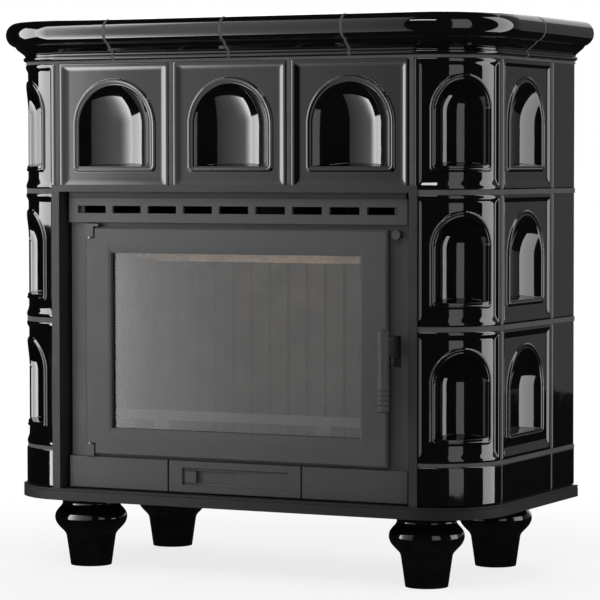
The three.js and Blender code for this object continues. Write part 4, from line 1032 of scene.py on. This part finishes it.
for side in ("left", "right"):
    for place in ("front", "back"):
        node = f"foot_{place}_{side}"
        low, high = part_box(node)
        neck = (FOOT_OUTLINE[-1][0], (high.z - low.z) / MM)
        outline = [*spline(FOOT_OUTLINE[1:], 4), FOOT_OUTLINE[-1], neck, (0, neck[1])]
        middle = (low + high) / 2
        at = Vector((middle.x, middle.y, low.z))
        stand_for(turned(f"{node}_lacquered", [(0, 0), *outline], at, FOOT_TURNS, LACQUER), node)
print("feet turned")

# %% [markdown]
# ## Plates round the tiles
#
# The base plate is a pressed tray with soft edges, the top plate lies in the ledge of the cornice, and the back is
# closed by a sheet with rows of air slots. The joints between the tiles are already in the model as one lattice of
# mortar, which only needs its finish.

# %% Base, top and back plates, mortar
dress("base_plate", POWDER, 1.4, 3)
dress("top_plate", POWDER, 0.5)
dress("back_panel", POWDER, 0.5)


def surround_with_lip():
    """The surround frame and its folded lip, a strip that closes the gap over the insert from behind."""
    low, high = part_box("insert_front")
    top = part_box("surround_frame")[1].z - LIP_FROM_TOP * MM
    strip = bpy.data.meshes.new("lip")
    shell = bmesh.new()
    made = bmesh.ops.create_cube(shell, size=1)["verts"]
    middle = Vector((0, low.y + LIP_BACK * MM, (high.z + top) / 2))
    bmesh.ops.scale(shell, vec=(high.x - low.x - 0.4 * MM, LIP_T * MM, top - high.z - 0.4 * MM), verts=made)
    bmesh.ops.translate(shell, vec=middle, verts=made)
    shell.to_mesh(strip)
    shell.free()
    piece = soften(link("surround_frame_finished", join_meshes("surround", [merged_copy("surround_frame"), strip])), 0.4)
    settle(piece, DEEP_PAINT)
    return stand_for(piece, "surround_frame")


LIP_FROM_TOP = 12.0
LIP_BACK = 4.0
LIP_T = 1.5
surround_with_lip()
frame["nodes"]["mortar"].data.materials.clear()
frame["nodes"]["mortar"].data.materials.append(MORTAR)

# %% [markdown]
# ## Front of the insert
#
# The insert is a plate with a vent panel above the door, two covers and a drawer below it. All of it is folded or
# cut steel, so each piece keeps its node's shape with its edges softened by about the thickness of the paint.

# %% Insert front
for node in ("insert_front", "vent_panel", "cover_left", "cover_right", "ash_drawer", "air_slider"):
    dress(node, SHEET_PAINT, 0.7)
dress("damper_slide", SHEET_PAINT, 0.6)

# %% [markdown]
# ## Door
#
# The door is an iron casting. Its frame slopes in to the glass, and its bar handle swings up to lift the claw off
# the latch.

# %% Door
dress("door_frame", CAST_PAINT, 1.2, 3)
dress("door_handle", CAST_PAINT, 0.6)
dress("glass_retainer", SHEET_PAINT, 0.4)
dress("door_glass", GLASS, 0.6)
for node in ("hinge_pin_top", "hinge_pin_bottom"):
    dress(node, BRIGHT_STEEL, 0.5)

# %% [markdown]
# ## Braided door rope
#
# The door seals on a rope of braided glass yarn pressed into a groove. Each yarn winds round the rope's own line, so
# a node tree takes that line as a ring of edges, lays several copies of it side by side, moves every copy round the
# line by an angle that grows along it, and gives each a round section. The rope is wider than deep, because the door
# squeezes it, so the two offsets have sizes of their own. A whole number of turns makes the yarns meet their start.


# %% Door rope
def make_braid():
    sizes = {"Yarns": "Int", "Turns": "Float", "Steps": "Int", "Wide": "Float", "Deep": "Float", "Yarn": "Float"}
    tree, given = make_tree("braid_round_line", sizes)
    line = add(tree, "GeometryNodeMeshToCurve", {}, {"Mesh": given["Geometry"]})
    fine = add(
        tree,
        "GeometryNodeResampleCurve",
        {"mode": "COUNT"},
        {"Curve": line.outputs[0], "Count": given["Steps"]},
    )
    many = add(
        tree,
        "GeometryNodeDuplicateElements",
        {"domain": "SPLINE"},
        {"Geometry": fine.outputs[0], "Amount": given["Yarns"]},
    )
    share = add(
        tree,
        "ShaderNodeMath",
        {"operation": "DIVIDE"},
        {0: many.outputs["Duplicate Index"], 1: given["Yarns"]},
    )
    along = add(tree, "GeometryNodeSplineParameter").outputs["Factor"]
    wound = add(
        tree,
        "ShaderNodeMath",
        {"operation": "MULTIPLY_ADD"},
        {0: along, 1: given["Turns"], 2: share.outputs[0]},
    )
    angle = add(tree, "ShaderNodeMath", {"operation": "MULTIPLY", 1: 2 * math.pi}, {0: wound.outputs[0]})
    heading = add(tree, "GeometryNodeInputTangent").outputs[0]
    sideways = add(
        tree,
        "ShaderNodeVectorMath",
        {"operation": "CROSS_PRODUCT", 1: (0, 1, 0)},
        {0: heading},
    )
    swing = [add(tree, "ShaderNodeMath", {"operation": kind}, {0: angle.outputs[0]}) for kind in ("COSINE", "SINE")]
    reach = [
        add(tree, "ShaderNodeMath", {"operation": "MULTIPLY"}, {0: wave.outputs[0], 1: given[label]})
        for wave, label in zip(swing, ("Wide", "Deep"))
    ]
    across = add(
        tree,
        "ShaderNodeVectorMath",
        {"operation": "SCALE"},
        {0: sideways.outputs[0], "Scale": reach[0].outputs[0]},
    )
    inward = add(tree, "ShaderNodeCombineXYZ", {}, {"Y": reach[1].outputs[0]})
    offset = add(tree, "ShaderNodeVectorMath", {}, {0: across.outputs[0], 1: inward.outputs[0]})
    moved = add(
        tree,
        "GeometryNodeSetPosition",
        {},
        {"Geometry": many.outputs[0], "Offset": offset.outputs[0]},
    )
    section = add(tree, "GeometryNodeCurvePrimitiveCircle", {"Resolution": 7}, {"Radius": given["Yarn"]})
    yarns = add(
        tree,
        "GeometryNodeCurveToMesh",
        {},
        {"Curve": moved.outputs[0], "Profile Curve": section.outputs[0]},
    )
    return close_tree(tree, yarns.outputs[0], given["Material"])


def rope_line(low, high, inset, radius):
    """The rope's rounded rectangle as a closed ring of edges, set in from the box of its groove."""
    right, top = high.x / MM - inset, high.z / MM - inset
    left, foot = low.x / MM + inset, low.z / MM + inset
    ring = [
        *arc(right - radius, top - radius, radius, 0, 90, 6),
        *arc(left + radius, top - radius, radius, 90, 180, 6),
        *arc(left + radius, foot + radius, radius, 180, 270, 6),
        *arc(right - radius, foot + radius, radius, 270, 360, 6),
    ]
    middle = (low.y + high.y) / 2
    mesh = bpy.data.meshes.new("rope_line")
    spots = [(x * MM, middle, z * MM) for x, z in ring]
    mesh.from_pydata(spots, [(k, (k + 1) % len(spots)) for k in range(len(spots))], [])
    return mesh


ROPE_WIDE = 8.5
ROPE_YARN = 1.05
ROPE_TURNS = 150
seal_low, seal_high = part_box("door_seal")
ROPE_DEEP = (seal_high.y - seal_low.y) / MM
rope = grow(
    "door_seal_braided",
    rope_line(seal_low, seal_high, ROPE_WIDE / 2, 9.0),
    make_braid(),
    {
        "Yarns": 6,
        "Turns": float(ROPE_TURNS),
        "Steps": 1500,
        "Wide": (ROPE_WIDE / 2 - ROPE_YARN) * MM,
        "Deep": (ROPE_DEEP / 2 - ROPE_YARN) * MM,
        "Yarn": ROPE_YARN * MM,
        "Material": ROPE,
    },
)
outward(rope.data)
rope.data.shade_smooth()
stand_for(rope, "door_seal")
print(f"rope: {len(rope.data.polygons)} faces, {ROPE_WIDE} x {ROPE_DEEP:.1f} mm")

# %% [markdown]
# ## Firebox
#
# Behind the glass the firebox is lined with ribbed boards, with a grate in its floor, a guard bar that keeps logs
# off the glass, and a baffle that turns the smoke before it reaches the flue.

# %% Firebox
dress("firebox_body", POWDER, 1.0)
dress("flue_pipe", POWDER, 0.5)
for node in ("grate", "log_guard"):
    dress(node, RAW_IRON, 1.0, 3)
for node in ("lining_left", "lining_right", "lining_back"):
    dress(node, LINING, 0.8)
dress("baffle", BAFFLE, 0.8)

# %% [markdown]
# ## Studio
#
# A glossy black thing shows nothing but its surroundings. It stands on a white floor, under a white sky that only
# lends its colour, while black curtains all round keep the glaze deep. Into that darkness come a large scrim on the
# left, a brighter box further round, a strip on the right and a small lamp high in front. None of them is seen by
# the camera, only their reflections are.


# %% Floor
def make_floor():
    """White near the stove, where it takes the shadow, and running into the white sky further out."""
    material, tree, shader, mm = start_material("white_studio_floor", 0.9)
    shader.inputs["Base Color"].default_value = linear("#f2f2f2")
    shader.inputs["Specular IOR Level"].default_value = 0.0
    away = add(tree, "ShaderNodeVectorMath", {"operation": "LENGTH"}, {0: mm})
    fade = add(
        tree,
        "ShaderNodeMapRange",
        {"interpolation_type": "SMOOTHSTEP", "From Min": 500.0, "From Max": 1300.0, "To Min": 0.8},
        {"Value": away.outputs["Value"]},
    )
    glow = add(tree, "ShaderNodeEmission", {"Color": linear("#ffffff"), "Strength": 1.0})
    mixed = add(
        tree,
        "ShaderNodeMixShader",
        {},
        {0: fade.outputs["Result"], 1: shader.outputs["BSDF"], 2: glow.outputs["Emission"]},
    )
    output = next(n for n in tree.nodes if n.type == "OUTPUT_MATERIAL")
    tree.links.new(mixed.outputs["Shader"], output.inputs["Surface"])
    return material


def panel(name, corners, material):
    """A flat stage panel through four corners in metres."""
    mesh = bpy.data.meshes.new(name)
    mesh.from_pydata(corners, [], [(0, 1, 2, 3)])
    mesh.materials.append(material)
    piece = link(name, mesh)
    piece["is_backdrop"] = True
    return piece


FLOOR_HALF = 30.0
panel(
    "floor",
    [
        (-FLOOR_HALF, -FLOOR_HALF, 0),
        (FLOOR_HALF, -FLOOR_HALF, 0),
        (FLOOR_HALF, FLOOR_HALF, 0),
        (-FLOOR_HALF, FLOOR_HALF, 0),
    ],
    make_floor(),
).visible_glossy = False


# %% Sky
def make_sky():
    world = bpy.data.worlds.new("sky")
    bpy.context.scene.world = world
    world.use_nodes = True
    tree = world.node_tree
    tree.nodes.clear()
    path = add(tree, "ShaderNodeLightPath").outputs
    seen = add(
        tree,
        "ShaderNodeMath",
        {"operation": "MAXIMUM"},
        {0: path["Is Camera Ray"], 1: path["Is Glossy Ray"]},
    )
    shown = add(
        tree,
        "ShaderNodeMath",
        {"operation": "MAXIMUM"},
        {0: seen.outputs[0], 1: path["Is Transmission Ray"]},
    )
    white = add(tree, "ShaderNodeBackground", {"Color": linear("#ffffff"), "Strength": 1.0})
    ambient = add(tree, "ShaderNodeBackground", {"Color": linear("#ffffff"), "Strength": 0.6})
    mixed = add(
        tree,
        "ShaderNodeMixShader",
        {},
        {0: shown.outputs[0], 1: ambient.outputs[0], 2: white.outputs[0]},
    )
    add(tree, "ShaderNodeOutputWorld", {}, {"Surface": mixed.outputs[0]})


make_sky()


# %% Curtains
def make_cloth():
    material, tree, shader, mm = start_material("black_stage_curtain", 1.0)
    shader.inputs["Base Color"].default_value = linear("#1a1a1a")
    shader.inputs["Specular IOR Level"].default_value = 0.0
    return material


def hide_from_soft_light(piece):
    """Leaves a stage piece only in reflections."""
    piece.visible_camera = False
    piece.visible_diffuse = False
    piece.visible_transmission = False
    piece.visible_shadow = False
    return piece


def ring_wall(name, radius, height, start, end, steps, material):
    """An upright curtain round the stove between two headings in degrees from the front, and its roof."""
    turns = np.radians(np.linspace(start, end, steps + 1))
    foot = [(radius * math.sin(a), -radius * math.cos(a), 0.0) for a in turns]
    head = [(x, y, height) for x, y, _ in foot]
    count = len(foot)
    faces = [(k, k + 1, count + k + 1, count + k) for k in range(count - 1)]
    faces.append(tuple(range(count, 2 * count)))
    mesh = bpy.data.meshes.new(name)
    mesh.from_pydata(foot + head, [], faces)
    mesh.materials.append(material)
    piece = link(name, mesh)
    piece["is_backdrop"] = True
    return hide_from_soft_light(piece)


CLOTH = make_cloth()
ring_wall("curtain", 4.5, 5.0, -165, 125, 40, CLOTH)
under = [(-9, -9, -0.01), (9, -9, -0.01), (9, 9, -0.01), (-9, 9, -0.01)]
hide_from_soft_light(panel("under_cloth", under, CLOTH))


# %% Lamps
def lamp(name, at, target, width, height, power):
    """A soft rectangular lamp that the camera doesn't see."""
    light = bpy.data.lights.new(name, "AREA")
    light.shape = "RECTANGLE"
    light.size = width
    light.size_y = height
    light.energy = power
    source = bpy.data.objects.new(name, light)
    source.location = at
    source.rotation_euler = (Vector(target) - Vector(at)).to_track_quat("-Z", "Y").to_euler()
    source.visible_camera = False
    bpy.context.scene.collection.objects.link(source)
    return source


def lamp_power(radiance, width, height):
    """Power in watts of a lamp that shows this radiance: a face gives pi times its radiance times its area."""
    return math.pi * radiance * width * height


def make_scrim():
    """Cloth lit from behind: dim at its right edge and brighter to the left."""
    material = bpy.data.materials.new("lit_scrim")
    material.use_nodes = True
    tree = material.node_tree
    tree.nodes.clear()
    place = add(tree, "ShaderNodeTexCoord").outputs["Object"]
    parts = add(tree, "ShaderNodeSeparateXYZ", {}, {0: place})
    near = add(
        tree,
        "ShaderNodeMapRange",
        {"From Min": 0.1, "From Max": -0.4, "To Min": 0.55, "To Max": 1.5},
        {"Value": parts.outputs["X"]},
    )
    far = add(
        tree,
        "ShaderNodeMapRange",
        {"interpolation_type": "SMOOTHSTEP", "From Min": -0.45, "From Max": -0.9, "To Min": 0.0, "To Max": 9.0},
        {"Value": parts.outputs["X"]},
    )
    low = add(
        tree,
        "ShaderNodeMapRange",
        {"interpolation_type": "SMOOTHSTEP", "From Min": 0.75, "From Max": 0.45, "To Min": 0.0, "To Max": 1.0},
        {"Value": parts.outputs["Z"]},
    )
    left = add(
        tree,
        "ShaderNodeMapRange",
        {"interpolation_type": "SMOOTHSTEP", "From Min": -0.25, "From Max": -0.65, "To Min": 0.0, "To Max": 2.2},
        {"Value": parts.outputs["X"]},
    )
    pool = add(tree, "ShaderNodeMath", {"operation": "MULTIPLY"}, {0: low.outputs[0], 1: left.outputs[0]})
    spread = add(tree, "ShaderNodeMath", {}, {0: near.outputs["Result"], 1: far.outputs["Result"]})
    gain = add(tree, "ShaderNodeMath", {}, {0: spread.outputs[0], 1: pool.outputs[0]})
    glow = add(tree, "ShaderNodeEmission", {}, {"Strength": gain.outputs[0]})
    add(tree, "ShaderNodeOutputMaterial", {}, {"Surface": glow.outputs["Emission"]})
    return material


def glowing(name, radiance):
    material = bpy.data.materials.new(name)
    material.use_nodes = True
    tree = material.node_tree
    tree.nodes.clear()
    glow = add(tree, "ShaderNodeEmission", {"Strength": radiance})
    add(tree, "ShaderNodeOutputMaterial", {}, {"Surface": glow.outputs["Emission"]})
    return material


scrim = panel(
    "scrim",
    [(0.1, -0.78, 0.0), (-0.9, -0.68, 0.0), (-0.9, -0.68, 2.1), (0.1, -0.78, 2.1)],
    make_scrim(),
)
hide_from_soft_light(scrim)
wing = [(-0.9, -0.68, 0.58), (-1.0, -0.3, 0.58), (-1.0, -0.3, 1.3), (-0.9, -0.68, 1.3)]
hide_from_soft_light(panel("scrim_wing", wing, glowing("bright_scrim_wing", 8.0)))
ring_wall("grey_curtain", 4.4, 5.0, 125, 165, 12, glowing("grey_lit_curtain", 0.22))
side_card = [(1.2, 0.05, 0.0), (1.2, 0.6, 0.0), (1.2, 0.6, 2.0), (1.2, 0.05, 2.0)]
hide_from_soft_light(panel("side_card", side_card, glowing("lit_side_card", 4.0)))
lamp("right_strip", (1.57, -1.06, 1.1), (0.42, -0.1, 1.1), 0.68, 2.2, lamp_power(1.5, 0.68, 2.2))
lamp("front_lamp", (0.3, -2.3, 2.5), (0.1, 0, 0.6), 1.5, 0.3, lamp_power(14.0, 1.5, 0.3))
lamp("back_lamp", (-1.3, 2.8, 2.2), (0, 0.2, 0.5), 1.6, 1.2, lamp_power(4.0, 1.6, 1.2))
inside = lamp("firebox_lamp", (0, -0.15, 0.42), (0, -0.05, 0.53), 0.4, 0.05, lamp_power(4.0, 0.4, 0.05))
inside.visible_glossy = False
inside.visible_transmission = False

# %% [markdown]
# ## Last measure
#
# The fine model has to keep the size of the imported one, so its box is printed here; the imported size was printed
# after loading.

# %% Sizes and finish
bpy.context.scene.view_settings.view_transform = "Standard"
low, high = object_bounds()
print("visual box", [round(v, 4) for v in (*low, *high)])
